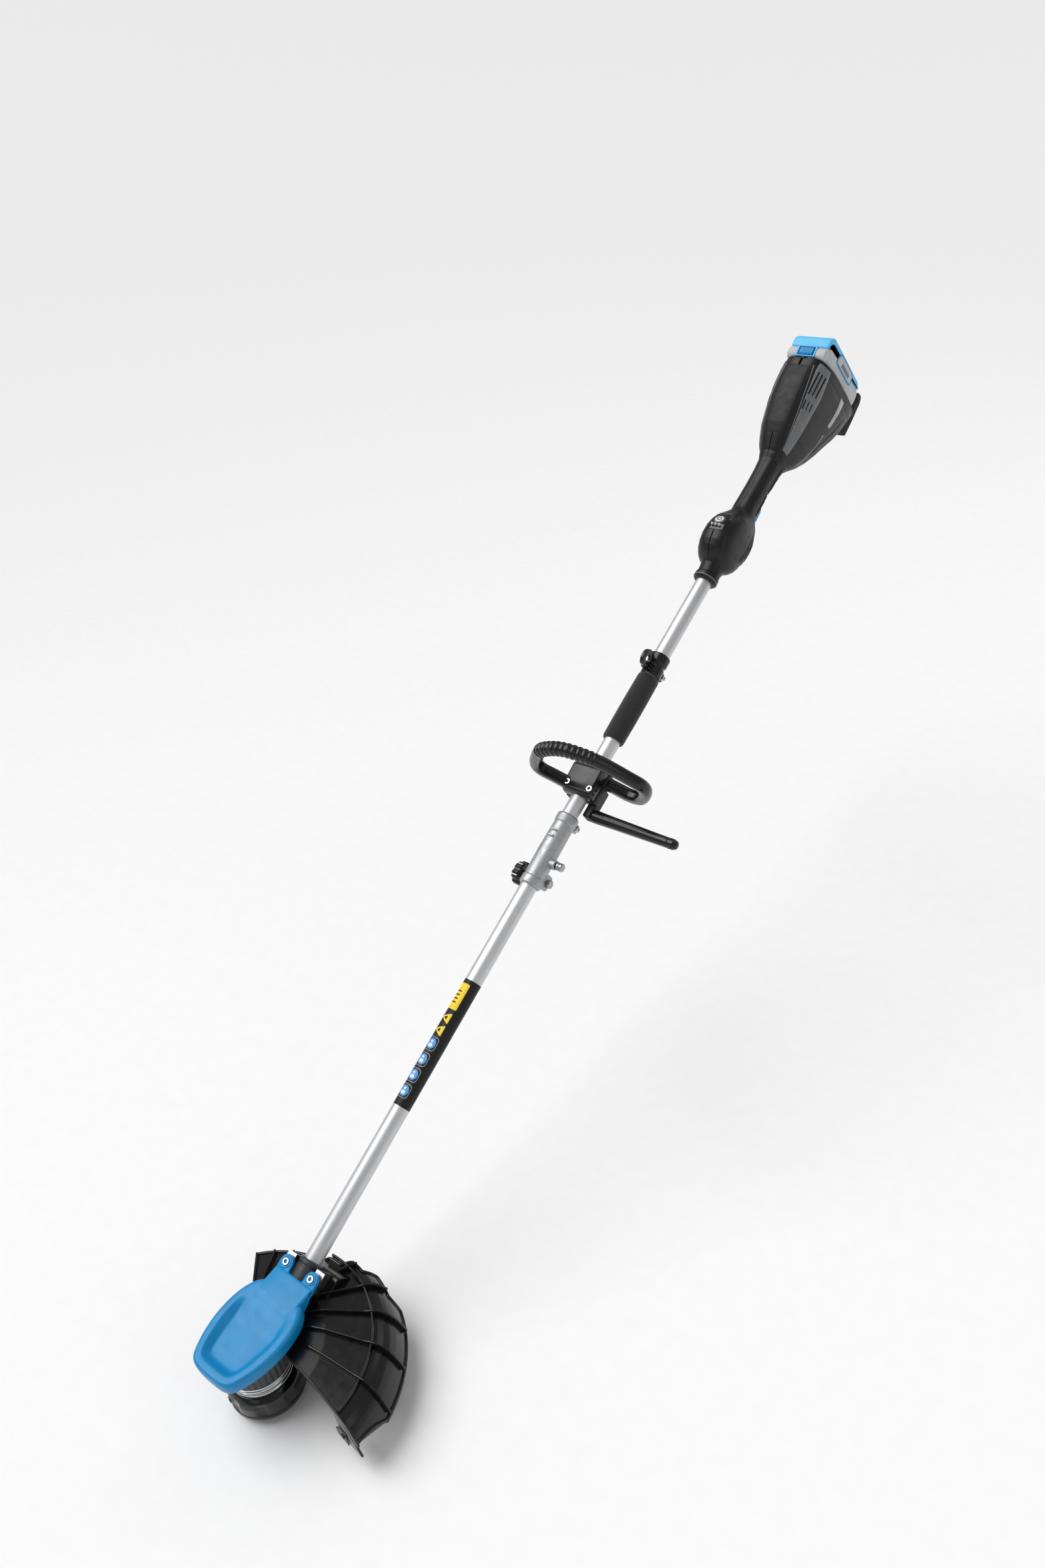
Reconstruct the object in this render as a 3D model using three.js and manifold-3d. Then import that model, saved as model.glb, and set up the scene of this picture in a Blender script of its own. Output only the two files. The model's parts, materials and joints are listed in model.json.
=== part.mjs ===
// Battery string trimmer: head-mounted motor and bump-feed line head, split shaft,
// loop handle with a barrier bar, and a rear grip with electronics and a battery.
// Millimetres, +Z up. Origin: centre of the bump knob's flat foot, where the head
// meets the ground. +Y runs back towards the user and the battery, and +X is the
// user's left. The shaft rises towards the user in the YZ plane.

import * as THREE from 'three';
import { mergeVertices } from 'three/addons/utils/BufferGeometryUtils.js';
import Module from 'manifold-3d';

const wasm = await Module();
wasm.setup();

// ---------------------------------------------------------------------------
// Driving dimensions
// ---------------------------------------------------------------------------

const SHAFT_TILT = THREE.MathUtils.degToRad(28);   // shaft above the horizontal
const SHAFT_HEIGHT = 76;          // the shaft's axis crosses the spool's axis here
const TUBE_RADIUS = 13;
const TUBE_WALL = 1.5;
const GAP = 0.3;                  // clearance that touching pieces keep

// Distances along the shaft, from where its axis crosses the spool's axis.
const SOCKET_START = 88;
const SOCKET_END = 140;
const LOWER_TUBE_START = 96;
const LOWER_TUBE_END = 800;
const UPPER_TUBE_START = 806;
const UPPER_TUBE_END = 1346;
const COUPLER_START = 741;
const COUPLER_END = 864;
const CLAMP_AT = 760;
const BOLT_HEIGHT = -22;
const KNOB_FACE = 31;             // the knob stands this far to the user's right
const LOCK_PIN_AT = 785;
const COUPLER_SCREW_AT = 855;
const HANDLE_CLAMP_START = 896;
const HANDLE_CLAMP_END = 950;
const HANDLE_SCREW_AT = 909;
const FOAM_START = 1002;
const FOAM_END = 1122;
const STRAP_EYE_AT = 1137;
const HOUSING_START = 1322;
const REAR_FACE_AT = 1717;        // the battery face's top edge
const REAR_FACE_TOP = 70;
const REAR_FACE_TILT = Math.atan(0.17);

// Head, heights above the ground and radii about the spool's axis.
const HEAD_RADIUS = 53.5;
const RING_RADIUS = 44.9;
const MOTOR_RADIUS = 47;
const MOTOR_FLOOR = 62.4;
const MOTOR_TOP = 114;

// Head cover.
const COVER_TOP = 136;
const COVER_WALL = 2.6;
const COVER_DEPTH = 19;
const COVER_TILT = Math.atan(0.097);
const EAR_SCREW_X = 25;
const EAR_SCREW_AT = 121.5;
const EAR_TOP = 18;

// Guard.
const GUARD_INNER = 51.5;
const GUARD_RIB_RADIUS = 162;
const GUARD_RIM_RADIUS = 200;
const GUARD_THICK = 3.2;
const GUARD_END_ANGLE = 138;
const GUARD_FRONT_SLOPE = -0.141; // the front edge runs almost straight out sideways
const GUARD_FAN_CENTRE = [-30, 28];      // the ribs fan out from here, off the spool's axis
const GUARD_RIB_ANGLES = [7.5, 23, 38.5, 54, 69.5, 108, 123];

const BATTERY_HALF_WIDTH = 35;
const BATTERY_HEIGHT = 138;
const BATTERY_DEPTH = 48;
const LATCH_HALF_WIDTH = 13;

// ---------------------------------------------------------------------------
// Materials
// ---------------------------------------------------------------------------

const finish = (color, roughness, metalness) => () => new THREE.MeshStandardMaterial({ color, roughness, metalness });
const blackPlastic = finish(0x1b1c1e, 0.6, 0);
const glossBlack = finish(0x0d0d0f, 0.15, 0);
const greyPlastic = finish(0x7d8084, 0.55, 0);
const bluePlastic = finish(0x1a86c8, 0.42, 0);
const paleGreyPlastic = finish(0xb6b9bc, 0.5, 0);
const lightBluePlastic = finish(0x74c4ea, 0.45, 0);
const satinAluminium = finish(0xd4d6d8, 0.35, 1);
const castAluminium = finish(0xa9abad, 0.55, 1);
const darkCasting = finish(0x3a3c3f, 0.5, 0.6);
const polishedSteel = finish(0xdfe1e3, 0.12, 1);
const plainSteel = finish(0xa7aaae, 0.35, 1);
const foamRubber = finish(0x1c1c1d, 0.95, 0);
const softRubber = finish(0x151516, 0.85, 0);
const copperWinding = finish(0xb0602c, 0.4, 1);
const lineNylon = finish(0xd9822b, 0.5, 0);
const boardGreen = finish(0x1f5b36, 0.5, 0);

// ---------------------------------------------------------------------------
// Geometry helpers
// ---------------------------------------------------------------------------

// A closed three.js geometry as a manifold solid.
function toSolid(geometry) {
  if (!geometry.isBufferGeometry) return geometry;
  const bare = geometry.clone();
  for (const name of Object.keys(bare.attributes)) {
    if (name !== 'position') bare.deleteAttribute(name);
  }
  const merged = mergeVertices(bare, 1e-4);
  return new wasm.Manifold(new wasm.Mesh({
    numProp: 3,
    vertProperties: new Float32Array(merged.attributes.position.array),
    triVerts: new Uint32Array(merged.index.array),
  }));
}

function toGeometry(solid) {
  if (solid.isBufferGeometry) return solid;
  const mesh = solid.getMesh();
  const geometry = new THREE.BufferGeometry();
  geometry.setAttribute('position', new THREE.BufferAttribute(new Float32Array(mesh.vertProperties), 3));
  geometry.setIndex(new THREE.BufferAttribute(new Uint32Array(mesh.triVerts), 1));
  geometry.computeVertexNormals();
  return geometry;
}

const join = (...pieces) => pieces.map(toSolid).reduce((a, b) => a.add(b));
const cut = (base, ...tools) => tools.map(toSolid).reduce((a, b) => a.subtract(b), toSolid(base));
const common = (...pieces) => pieces.map(toSolid).reduce((a, b) => a.intersect(b));

// The largest body of a solid, without the slivers a cut may leave.
const mainBody = (solid) => solid.decompose().reduce((a, b) => (b.volume() > a.volume() ? b : a));

// Solid of revolution about Z from a closed outline of [radius, height].
function turned(outline, segments = 18) {
  const points = outline.map(([radius, height]) => new THREE.Vector2(radius, height));
  const onAxis = outline[0][0] === 0 && outline[outline.length - 1][0] === 0;
  if (!onAxis) points.push(points[0].clone());
  const area = points.reduce((sum, p, i) => {
    const q = points[(i + 1) % points.length];
    return sum + p.x * q.y - q.x * p.y;
  }, 0);
  if (area < 0) points.reverse();
  return new THREE.LatheGeometry(points, segments).rotateX(Math.PI / 2);
}

// The same, about the shaft's own axis (local Y).
const turnedOnShaft = (outline, segments = 16) => turned(outline, segments).rotateX(-Math.PI / 2);

function box(xRange, yRange, zRange) {
  const [width, depth, height] = [xRange, yRange, zRange].map(([low, high]) => high - low);
  const middle = [xRange, yRange, zRange].map(([low, high]) => (low + high) / 2);
  return new THREE.BoxGeometry(width, depth, height).translate(...middle);
}

// Round bar along X, Y or Z.
function bar(axis, radius, low, high, at = [0, 0], segments = 12) {
  const rod = new THREE.CylinderGeometry(radius, radius, high - low, segments);
  const middle = (low + high) / 2;
  if (axis === 'x') return rod.rotateZ(-Math.PI / 2).translate(middle, at[0], at[1]);
  if (axis === 'y') return rod.translate(at[0], middle, at[1]);
  return rod.rotateX(Math.PI / 2).translate(at[0], at[1], middle);
}

// A flat outline in [y, z], given thickness along X.
function sidePlate(outline, halfWidth, bevel = 0) {
  const shape = new THREE.Shape(outline.map(([y, z]) => new THREE.Vector2(y, z)));
  const depth = 2 * (halfWidth - bevel);
  const options = { depth, bevelEnabled: bevel > 0, bevelThickness: bevel, bevelSize: bevel, bevelOffset: -bevel, bevelSegments: 1 };
  return new THREE.ExtrudeGeometry(shape, options)
    .translate(0, 0, -depth / 2)
    .applyMatrix4(new THREE.Matrix4().makeBasis(
      new THREE.Vector3(0, 1, 0), new THREE.Vector3(0, 0, 1), new THREE.Vector3(1, 0, 0)));
}

// A flat outline in [x, y], given height along Z.
function topPlate(shape, low, high, bevel = 0, curveSegments = 4) {
  const options = {
    depth: high - low - 2 * bevel, bevelEnabled: bevel > 0, bevelThickness: bevel, bevelSize: bevel,
    bevelOffset: -bevel, bevelSegments: 1, curveSegments,
  };
  return new THREE.ExtrudeGeometry(shape, options).translate(0, 0, low + bevel);
}

const outlineShape = (points) => new THREE.Shape(points.map(([x, y]) => new THREE.Vector2(x, y)));

// A closed grid solid: rows of rings, capped at both ends.
function loft(rings) {
  const sides = rings[0].length;
  const positions = rings.flat(2);
  const index = [];
  for (let i = 0; i + 1 < rings.length; i += 1) {
    for (let j = 0; j < sides; j += 1) {
      const a = i * sides + j;
      const b = i * sides + (j + 1) % sides;
      index.push(a, b, b + sides, a, b + sides, a + sides);
    }
  }
  const first = positions.length / 3;
  [rings[0], rings[rings.length - 1]].forEach((ring) => {
    const middle = [0, 1, 2].map((axis) => ring.reduce((sum, p) => sum + p[axis], 0) / sides);
    positions.push(...middle);
  });
  const last = (rings.length - 1) * sides;
  for (let j = 0; j < sides; j += 1) {
    const next = (j + 1) % sides;
    index.push(first, next, j, first + 1, last + j, last + next);
  }
  const geometry = new THREE.BufferGeometry();
  geometry.setAttribute('position', new THREE.BufferAttribute(new Float32Array(positions), 3));
  geometry.setIndex(index);
  return geometry;
}

// ---------------------------------------------------------------------------
// Scene graph: the whole, and a group whose Y axis is the shaft's own
// ---------------------------------------------------------------------------

const trimmer = new THREE.Group();
const shaft = new THREE.Group();
shaft.position.set(0, 0, SHAFT_HEIGHT);
shaft.rotation.x = SHAFT_TILT;
trimmer.add(shaft);

function place(name, shape, material, parent = trimmer) {
  const mesh = new THREE.Mesh(toGeometry(shape), material());
  mesh.name = name;
  parent.add(mesh);
  return mesh;
}

// Moves geometry given in the shaft's frame into the trimmer's own frame.
const shaftMatrix = new THREE.Matrix4()
  .makeTranslation(0, 0, SHAFT_HEIGHT)
  .multiply(new THREE.Matrix4().makeRotationX(SHAFT_TILT));
const fromShaft = (geometry) => geometry.applyMatrix4(shaftMatrix);

// ---------------------------------------------------------------------------
// Line head: knob, base, body, spool, line, spring and eyelets
// ---------------------------------------------------------------------------

function lineHead() {
  const baseLow = 12;
  const bodyLow = 22;
  const bodyTop = 54.2;
  const spoolLow = 24;
  const spoolHigh = 43;

  place('bump_knob', turned([
    [0, 0], [20, 0], [25, 1.5], [27, 4.5], [27, 9], [24, 11.5], [15, 11.5], [11, 14],
    [11, 34], [5.5, 34], [5.5, 14], [0, 14],
  ]), blackPlastic);

  place('head_base', turned([
    [28, baseLow], [50, baseLow], [HEAD_RADIUS, baseLow + 3], [HEAD_RADIUS, bodyLow - GAP],
    [46, bodyLow - GAP], [28, baseLow + 6],
  ]), glossBlack);

  const eyeletAngles = [-105, 75];
  const eyeletHeight = 33;
  const radially = (geometry, angle) => geometry.rotateZ(THREE.MathUtils.degToRad(angle));
  const body = turned([
    [45.5, bodyLow], [HEAD_RADIUS, bodyLow], [HEAD_RADIUS, 36], [51.5, 44], [46, 52.6], [40, bodyTop],
    [6, bodyTop], [6, bodyTop - 3.2], [44, bodyTop - 3.2], [45.5, 49],
  ]);
  const holes = eyeletAngles.map((angle) => radially(bar('x', 4, 40, 60, [0, eyeletHeight], 10), angle));
  place('head_body', cut(body, ...holes), glossBlack);

  ['eyelet_front', 'eyelet_rear'].forEach((name, i) => {
    const ferrule = turned([[2, 46.2], [3.6, 46.2], [3.6, 53.9], [5.2, 53.9], [5.2, 55.2], [2, 55.2]], 10)
      .rotateY(Math.PI / 2)
      .translate(0, 0, eyeletHeight);
    place(name, radially(ferrule, eyeletAngles[i]), polishedSteel);
  });

  place('spool', turned([
    [12, spoolLow], [43, spoolLow], [43, spoolLow + 2], [20, spoolLow + 2],
    [20, spoolHigh - 2], [43, spoolHigh - 2], [43, spoolHigh], [12, spoolHigh],
  ]), greyPlastic);
  place('wound_line', turned([
    [20 + GAP, spoolLow + 2 + GAP], [38, spoolLow + 2 + GAP], [39.5, 33], [38, spoolHigh - 2 - GAP],
    [20 + GAP, spoolHigh - 2 - GAP],
  ]), lineNylon);

  const springLow = 35.5;
  const springHigh = bodyTop - 3.2 - 1.6;
  place('bump_spring', coil(8, 1.1, springLow, springHigh, 3.5), plainSteel);
}

// A helical spring about Z.
function coil(radius, wireRadius, low, high, turns) {
  const stepsPerTurn = 10;
  const sides = 4;
  const steps = turns * stepsPerTurn;
  const rings = [];
  for (let i = 0; i <= steps; i += 1) {
    const angle = i / stepsPerTurn * 2 * Math.PI;
    const height = low + (high - low) * i / steps;
    const ring = [];
    for (let j = 0; j < sides; j += 1) {
      const around = j / sides * 2 * Math.PI;
      const reach = radius + wireRadius * Math.cos(around);
      ring.push([reach * Math.cos(angle), reach * Math.sin(angle), height + wireRadius * Math.sin(around)]);
    }
    rings.push(ring.reverse());
  }
  return loft(rings);
}

// ---------------------------------------------------------------------------
// Motor: flange ring, spindle, bearings, rotor, stator and housing with its neck
// ---------------------------------------------------------------------------

function motor() {
  place('thrust_ring', turned([
    [7, 54.6], [43, 54.6], [RING_RADIUS, 55.8], [RING_RADIUS, 58], [41, 60.2], [36, 61.2], [7, 61.2],
  ]), polishedSteel);
  place('spindle', turned([
    [0, 22], [4, 22], [4, 50], [5, 52], [5, 110], [0, 110],
  ], 10), plainSteel);

  const bearing = (low, high) => turned([[5 + GAP, low], [10.7, low], [10.7, high], [5 + GAP, high]], 12);
  place('bearing_lower', bearing(67, 74), plainSteel);
  place('bearing_upper', bearing(82, 89), plainSteel);

  const boss = [[11, MOTOR_FLOOR + 4], [14, MOTOR_FLOOR + 4], [14, 90], [11, 90]];
  place('motor_stator', cut(
    turned([[14 + GAP, 76], [32, 76], [32, 96], [14 + GAP, 96]], 18),
    ...Array.from({ length: 6 }, (_, i) => {
      const slot = box([20, 31], [-1.6, 1.6], [70, 100]);
      return slot.rotateZ(i / 6 * 2 * Math.PI);
    }),
  ), copperWinding);
  place('motor_rotor', turned([
    [5 + GAP, 99], [34, 99], [34, 74], [38, 74], [38, 101], [36, 103], [12, 103], [12, 108], [5 + GAP, 108],
  ]), plainSteel);

  const cup = turned([
    [9, MOTOR_FLOOR], [34, MOTOR_FLOOR], [43, MOTOR_FLOOR + 3], [MOTOR_RADIUS, MOTOR_FLOOR + 12],
    [MOTOR_RADIUS, MOTOR_TOP], [MOTOR_RADIUS - 3, MOTOR_TOP], [MOTOR_RADIUS - 3, MOTOR_FLOOR + 14],
    [40, MOTOR_FLOOR + 6], [34, MOTOR_FLOOR + 4], [14, MOTOR_FLOOR + 4], [14, 90], [11, 90],
    [11, MOTOR_FLOOR + 4], [9, MOTOR_FLOOR + 2],
  ]);
  const neck = sidePlate([
    [40, 70], [62, 76], [94, 101], [118, 119], [108, 138], [84, 128], [58, MOTOR_TOP - 2], [40, MOTOR_TOP - 2],
  ], 16, 2);
  const cavity = turned([[0, 70], [MOTOR_RADIUS - 3, 80], [MOTOR_RADIUS - 3, 130], [0, 130]]);
  const socket = fromShaft(turnedOnShaft([
    [0, SOCKET_START], [16, SOCKET_START], [18, SOCKET_START + 3], [18, SOCKET_END - 2], [16.5, SOCKET_END], [0, SOCKET_END],
  ]));
  const bore = fromShaft(bar('y', TUBE_RADIUS + GAP, LOWER_TUBE_START - GAP, SOCKET_END + 5, [0, 0], 20));
  const wireWay = fromShaft(bar('y', 5, 30, LOWER_TUBE_START + 2, [0, 4], 12));
  const neckBlock = cut(join(neck, socket), cavity, bore, wireWay);
  place('motor_housing', join(cup, neckBlock), darkCasting);
}

// ---------------------------------------------------------------------------
// Blue cover over the motor, with two ears screwed down beside the shaft
// ---------------------------------------------------------------------------

// Plan outline of the cover's pad, drawn inward by a margin.
function padShape(margin) {
  const half = 58.5 - margin;
  const front = -71 + margin;
  const back = 66 - margin;
  const shape = new THREE.Shape();
  shape.moveTo(38 - margin, back);
  shape.bezierCurveTo(52 - margin, 56 - margin, half, 34, half, 8);
  shape.bezierCurveTo(half, -26, 44 - margin, -56 + margin, 27 - margin * 0.7, -66 + margin);
  shape.quadraticCurveTo(14, front - 1, 0, front);
  shape.quadraticCurveTo(-14, front - 1, -27 + margin * 0.7, -66 + margin);
  shape.bezierCurveTo(-44 + margin, -56 + margin, -half, -26, -half, 8);
  shape.bezierCurveTo(-half, 34, -52 + margin, 56 - margin, -38 + margin, back);
  shape.closePath();
  return shape;
}

function headCover() {
  const tilted = (geometry) => geometry.rotateX(COVER_TILT).translate(0, 0, COVER_TOP);
  const pad = tilted(topPlate(padShape(0), -COVER_DEPTH, 0, 3, 3));
  const hollow = tilted(topPlate(padShape(COVER_WALL), -COVER_DEPTH - 5, -10, 0, 3));
  const dish = tilted(topPlate(padShape(15), -7, 6, 0, 3));

  const earShape = outlineShape([
    [-36, 84], [36, 84], [36, 124], [31, 131], [20, 131], [14, 125], [13, 111],
    [-13, 111], [-14, 125], [-20, 131], [-31, 131], [-36, 124],
  ]);
  const ears = fromShaft(topPlate(earShape, EAR_TOP - 6.6, EAR_TOP, 1));
  const bridge = sidePlate([[50, 117], [62, 116], [80, 127], [90, 145.5], [74, 141], [50, 140]], 36, 2);
  const bridgeHollow = sidePlate([[40, 100], [64, 100], [78, 118], [82, 138], [60, 133], [40, 131]], 33);
  const screwHoles = [-1, 1].flatMap((side) => [
    fromShaft(bar('z', 3.1, 0, 30, [side * EAR_SCREW_X, EAR_SCREW_AT], 10)),
    fromShaft(bar('z', 6, EAR_TOP - 2.4, 30, [side * EAR_SCREW_X, EAR_SCREW_AT], 10)),
  ]);
  const shell = cut(join(pad, bridge), hollow, bridgeHollow);
  const overSocket = fromShaft(bar('y', 19, 60, 160, [0, 0], 20));
  place('head_cover', cut(join(shell, ears), dish, overSocket, ...screwHoles), bluePlastic);

  [['cover_screw_left', 1], ['cover_screw_right', -1]].forEach(([name, side]) => {
    const head = bar('z', 5.2, EAR_TOP - 2.1, EAR_TOP + 2.2, [side * EAR_SCREW_X, EAR_SCREW_AT], 10);
    const shank = bar('z', 2.6, 7.2, EAR_TOP - 1, [side * EAR_SCREW_X, EAR_SCREW_AT], 12);
    const socket = bar('z', 2.4, EAR_TOP - 0.4, EAR_TOP + 4, [side * EAR_SCREW_X, EAR_SCREW_AT], 6);
    place(name, cut(join(head, shank), socket), polishedSteel, shaft);
  });
}

// ---------------------------------------------------------------------------
// Guard, its bent steel bracket, and the line cutter
// ---------------------------------------------------------------------------

const BRACKET_START = 106;
const BRACKET_END = 136;
const BRACKET_LOW = -24;

function guardBracket() {
  const outer = 36;
  const inner = 20.6;
  const high = 10.8;
  const thick = 2;
  const hat = outlineShape([
    [outer, high], [inner, high], [inner, BRACKET_LOW + thick], [-inner, BRACKET_LOW + thick], [-inner, high],
    [-outer, high], [-outer, high - thick], [-inner - thick, high - thick], [-inner - thick, BRACKET_LOW],
    [inner + thick, BRACKET_LOW], [inner + thick, high - thick], [outer, high - thick],
  ]);
  const bent = new THREE.ExtrudeGeometry(hat, { depth: BRACKET_END - BRACKET_START, bevelEnabled: false })
    .rotateX(Math.PI / 2)
    .translate(0, BRACKET_END, 0);
  const holes = [
    ...[-1, 1].map((side) => bar('z', 3, 5, 15, [side * EAR_SCREW_X, EAR_SCREW_AT], 10)),
    ...[-1, 1].map((side) => bar('z', 3, -30, -18, [side * 12, 121], 10)),
  ];
  place('guard_bracket', cut(bent, ...holes), plainSteel, shaft);

  [['guard_screw_left', 1], ['guard_screw_right', -1]].forEach(([name, side]) => {
    const head = bar('z', 5.4, BRACKET_LOW - 15, BRACKET_LOW - 10.6, [side * 12, 121], 10);
    const shank = bar('z', 2.6, BRACKET_LOW - 11, BRACKET_LOW + 4, [side * 12, 121], 12);
    place(name, join(head, shank), plainSteel, shaft);
  });
}

// Guard's upper surface at a radius.
function guardHeight(radius) {
  if (radius <= 100) return 106;
  if (radius <= GUARD_RIB_RADIUS) return 106 - 11 * (radius - 100) / (GUARD_RIB_RADIUS - 100);
  return 95 - 65 * (radius - GUARD_RIB_RADIUS) / (GUARD_RIM_RADIUS - GUARD_RIB_RADIUS);
}

function guard() {
  const t = GUARD_THICK;
  const skin = turned([
    [GUARD_INNER, 110], [GUARD_INNER + 2.6, 110], [GUARD_INNER + 2.6, 106], [100, 106],
    [GUARD_RIB_RADIUS, 95], [GUARD_RIM_RADIUS - 2, 33], [GUARD_RIM_RADIUS, 29], [GUARD_RIM_RADIUS - 3.4, 29],
    [GUARD_RIB_RADIUS - 2, 95 - t], [100, 106 - t], [GUARD_INNER, 106 - t],
  ], 40);
  const ring = turned([
    [GUARD_RIB_RADIUS - 3.4, 92], [GUARD_RIB_RADIUS, 92], [GUARD_RIB_RADIUS, 101.5], [GUARD_RIB_RADIUS - 3, 101.5],
  ], 40);
  const ribRadii = [60, 100, GUARD_RIB_RADIUS, GUARD_RIM_RADIUS - 4];
  const [fanX, fanY] = GUARD_FAN_CENTRE;
  const ribs = GUARD_RIB_ANGLES.map((degrees) => {
    const angle = THREE.MathUtils.degToRad(degrees);
    // How far along the rib the spool's axis is passed, and at which distance.
    const nearest = -(fanX * Math.cos(angle) + fanY * Math.sin(angle));
    const offset = fanX * Math.sin(angle) - fanY * Math.cos(angle);
    const reached = (radius) => nearest + Math.sqrt(radius ** 2 - offset ** 2);
    const outline = [
      ...ribRadii.map((r) => [reached(r), guardHeight(r) - 2]),
      ...[...ribRadii].reverse().map((r) => [reached(r) + (r > GUARD_RIB_RADIUS ? 3 : 0), guardHeight(r) + 5.5]),
    ];
    return sidePlate(outline, 1.7).rotateZ(angle - Math.PI / 2).translate(fanX, fanY, 0);
  });

  // The kept sector: a nearly straight front edge on the left, and a radial end on the right.
  const endAngle = THREE.MathUtils.degToRad(GUARD_END_ANGLE);
  const reach = 260;
  const frontAt = (x) => 24.8 + GUARD_FRONT_SLOPE * x;
  const sector = topPlate(outlineShape([
    [0, frontAt(0)], [reach, frontAt(reach)], [reach, reach], [-reach, reach],
    [reach * Math.cos(endAngle), reach * Math.sin(endAngle)], [-20, 18],
  ]), 0, 160);

  // The rim steps in towards the shaft's far side.
  const ringSector = (from, to, radius) => common(
    turned([[radius, 10], [240, 10], [240, 130], [radius, 130]], 40),
    topPlate(outlineShape([
      [0, 0],
      ...[from, to].map((angle) => {
        const a = THREE.MathUtils.degToRad(angle);
        return [300 * Math.cos(a), 300 * Math.sin(a)];
      }),
    ]), 0, 140),
  );
  const steps = [
    ringSector(62, 76, 191), ringSector(76, 86, 176), ringSector(86, 96, 160), ringSector(96, 141, 151),
    box([192, 240], [-80, 42], [0, 130]),
  ];

  const edgeTurn = Math.atan(GUARD_FRONT_SLOPE);
  const alongEdge = (geometry) => geometry.rotateZ(edgeTurn).translate(0, frontAt(0), 0);
  const web = alongEdge(new THREE.ExtrudeGeometry(
    outlineShape([[150, 93], [163, 93], [197, 32], [176, 30], [150, 34]]), { depth: 3, bevelEnabled: false })
    .rotateX(Math.PI / 2).translate(0, 3.2, 0));
  const edgeLip = alongEdge(box([56, 163], [0.2, 3.2], [88, 98]));

  const saddle = sidePlate([
    [100, 99], [103, 102.4], [136.9, 120.5], [141, 118], [152, 99], [150, 94], [100, 96],
  ], 34, 1.5);
  const neckWay = box([-20, 20], [0, 104], [60, 135]);
  const bracketWay = fromShaft(box([-37, 37], [98, 150], [BRACKET_LOW - GAP, 60]));
  const screwWays = [-1, 1].flatMap((side) => [
    fromShaft(bar('z', 3, -60, 0, [side * 12, 121], 10)),
    fromShaft(bar('z', 6.4, -90, BRACKET_LOW - 10.2, [side * 12, 121], 10)),
  ]);
  const plate = cut(common(join(skin, ring, ...ribs), sector), ...steps);
  const whole = cut(join(plate, web, edgeLip, saddle), neckWay, bracketWay, ...screwWays,
    turned([[0, 20], [GUARD_INNER, 20], [GUARD_INNER, 160], [0, 160]], 40));
  place('guard', whole, blackPlastic);

  const blade = alongEdge(new THREE.ExtrudeGeometry(
    outlineShape([[144, 31], [168, 31], [168, 55], [153, 55], [144, 46]]), { depth: 1.6, bevelEnabled: false })
    .rotateX(Math.PI / 2).translate(0, -GAP + 0.2, 0));
  const rivetAt = [161, 46];
  const rivetHead = alongEdge(bar('y', 3.6, -3.6, -1, rivetAt, 16));
  place('cutter_blade', join(blade, rivetHead), plainSteel);
}

// ---------------------------------------------------------------------------
// Shaft tubes, the leads inside them and the coupler
// ---------------------------------------------------------------------------

const KEY_SLOT = 3.4;   // half width of the lower tube's open key slot

function shaftTubes() {
  const inner = TUBE_RADIUS - TUBE_WALL;
  const tube = (from, to) => turnedOnShaft([[inner, from], [TUBE_RADIUS, from], [TUBE_RADIUS, to], [inner, to]], 20);
  const slot = box([0, 20], [LOCK_PIN_AT - KEY_SLOT, LOWER_TUBE_END + 5], [-KEY_SLOT, KEY_SLOT]);
  place('lower_tube', cut(tube(LOWER_TUBE_START, LOWER_TUBE_END), slot), satinAluminium, shaft);
  place('upper_tube', tube(UPPER_TUBE_START, UPPER_TUBE_END), satinAluminium, shaft);

  const lead = (from, to) => bar('y', 3.5, from, to, [0, 0], 10);
  const plugStart = LOWER_TUBE_END - 32;
  place('lower_lead', lead(LOWER_TUBE_START + 1, plugStart - GAP), softRubber, shaft);
  place('upper_lead', lead(UPPER_TUBE_START + 24 + GAP, UPPER_TUBE_END + 20), softRubber, shaft);

  // A round plug on the lower tube's end meets a socket in the upper tube's end.
  const keyWay = box([5, 20], [plugStart - 5, LOWER_TUBE_END + 20], [-KEY_SLOT, KEY_SLOT]);
  place('lead_plug', cut(bar('y', inner - GAP, plugStart, LOWER_TUBE_END + 2, [0, 0], 20), keyWay), blackPlastic, shaft);
  place('lead_socket', bar('y', inner - GAP, LOWER_TUBE_END + 2 + GAP, UPPER_TUBE_START + 24, [0, 0], 20), blackPlastic, shaft);
}

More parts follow.
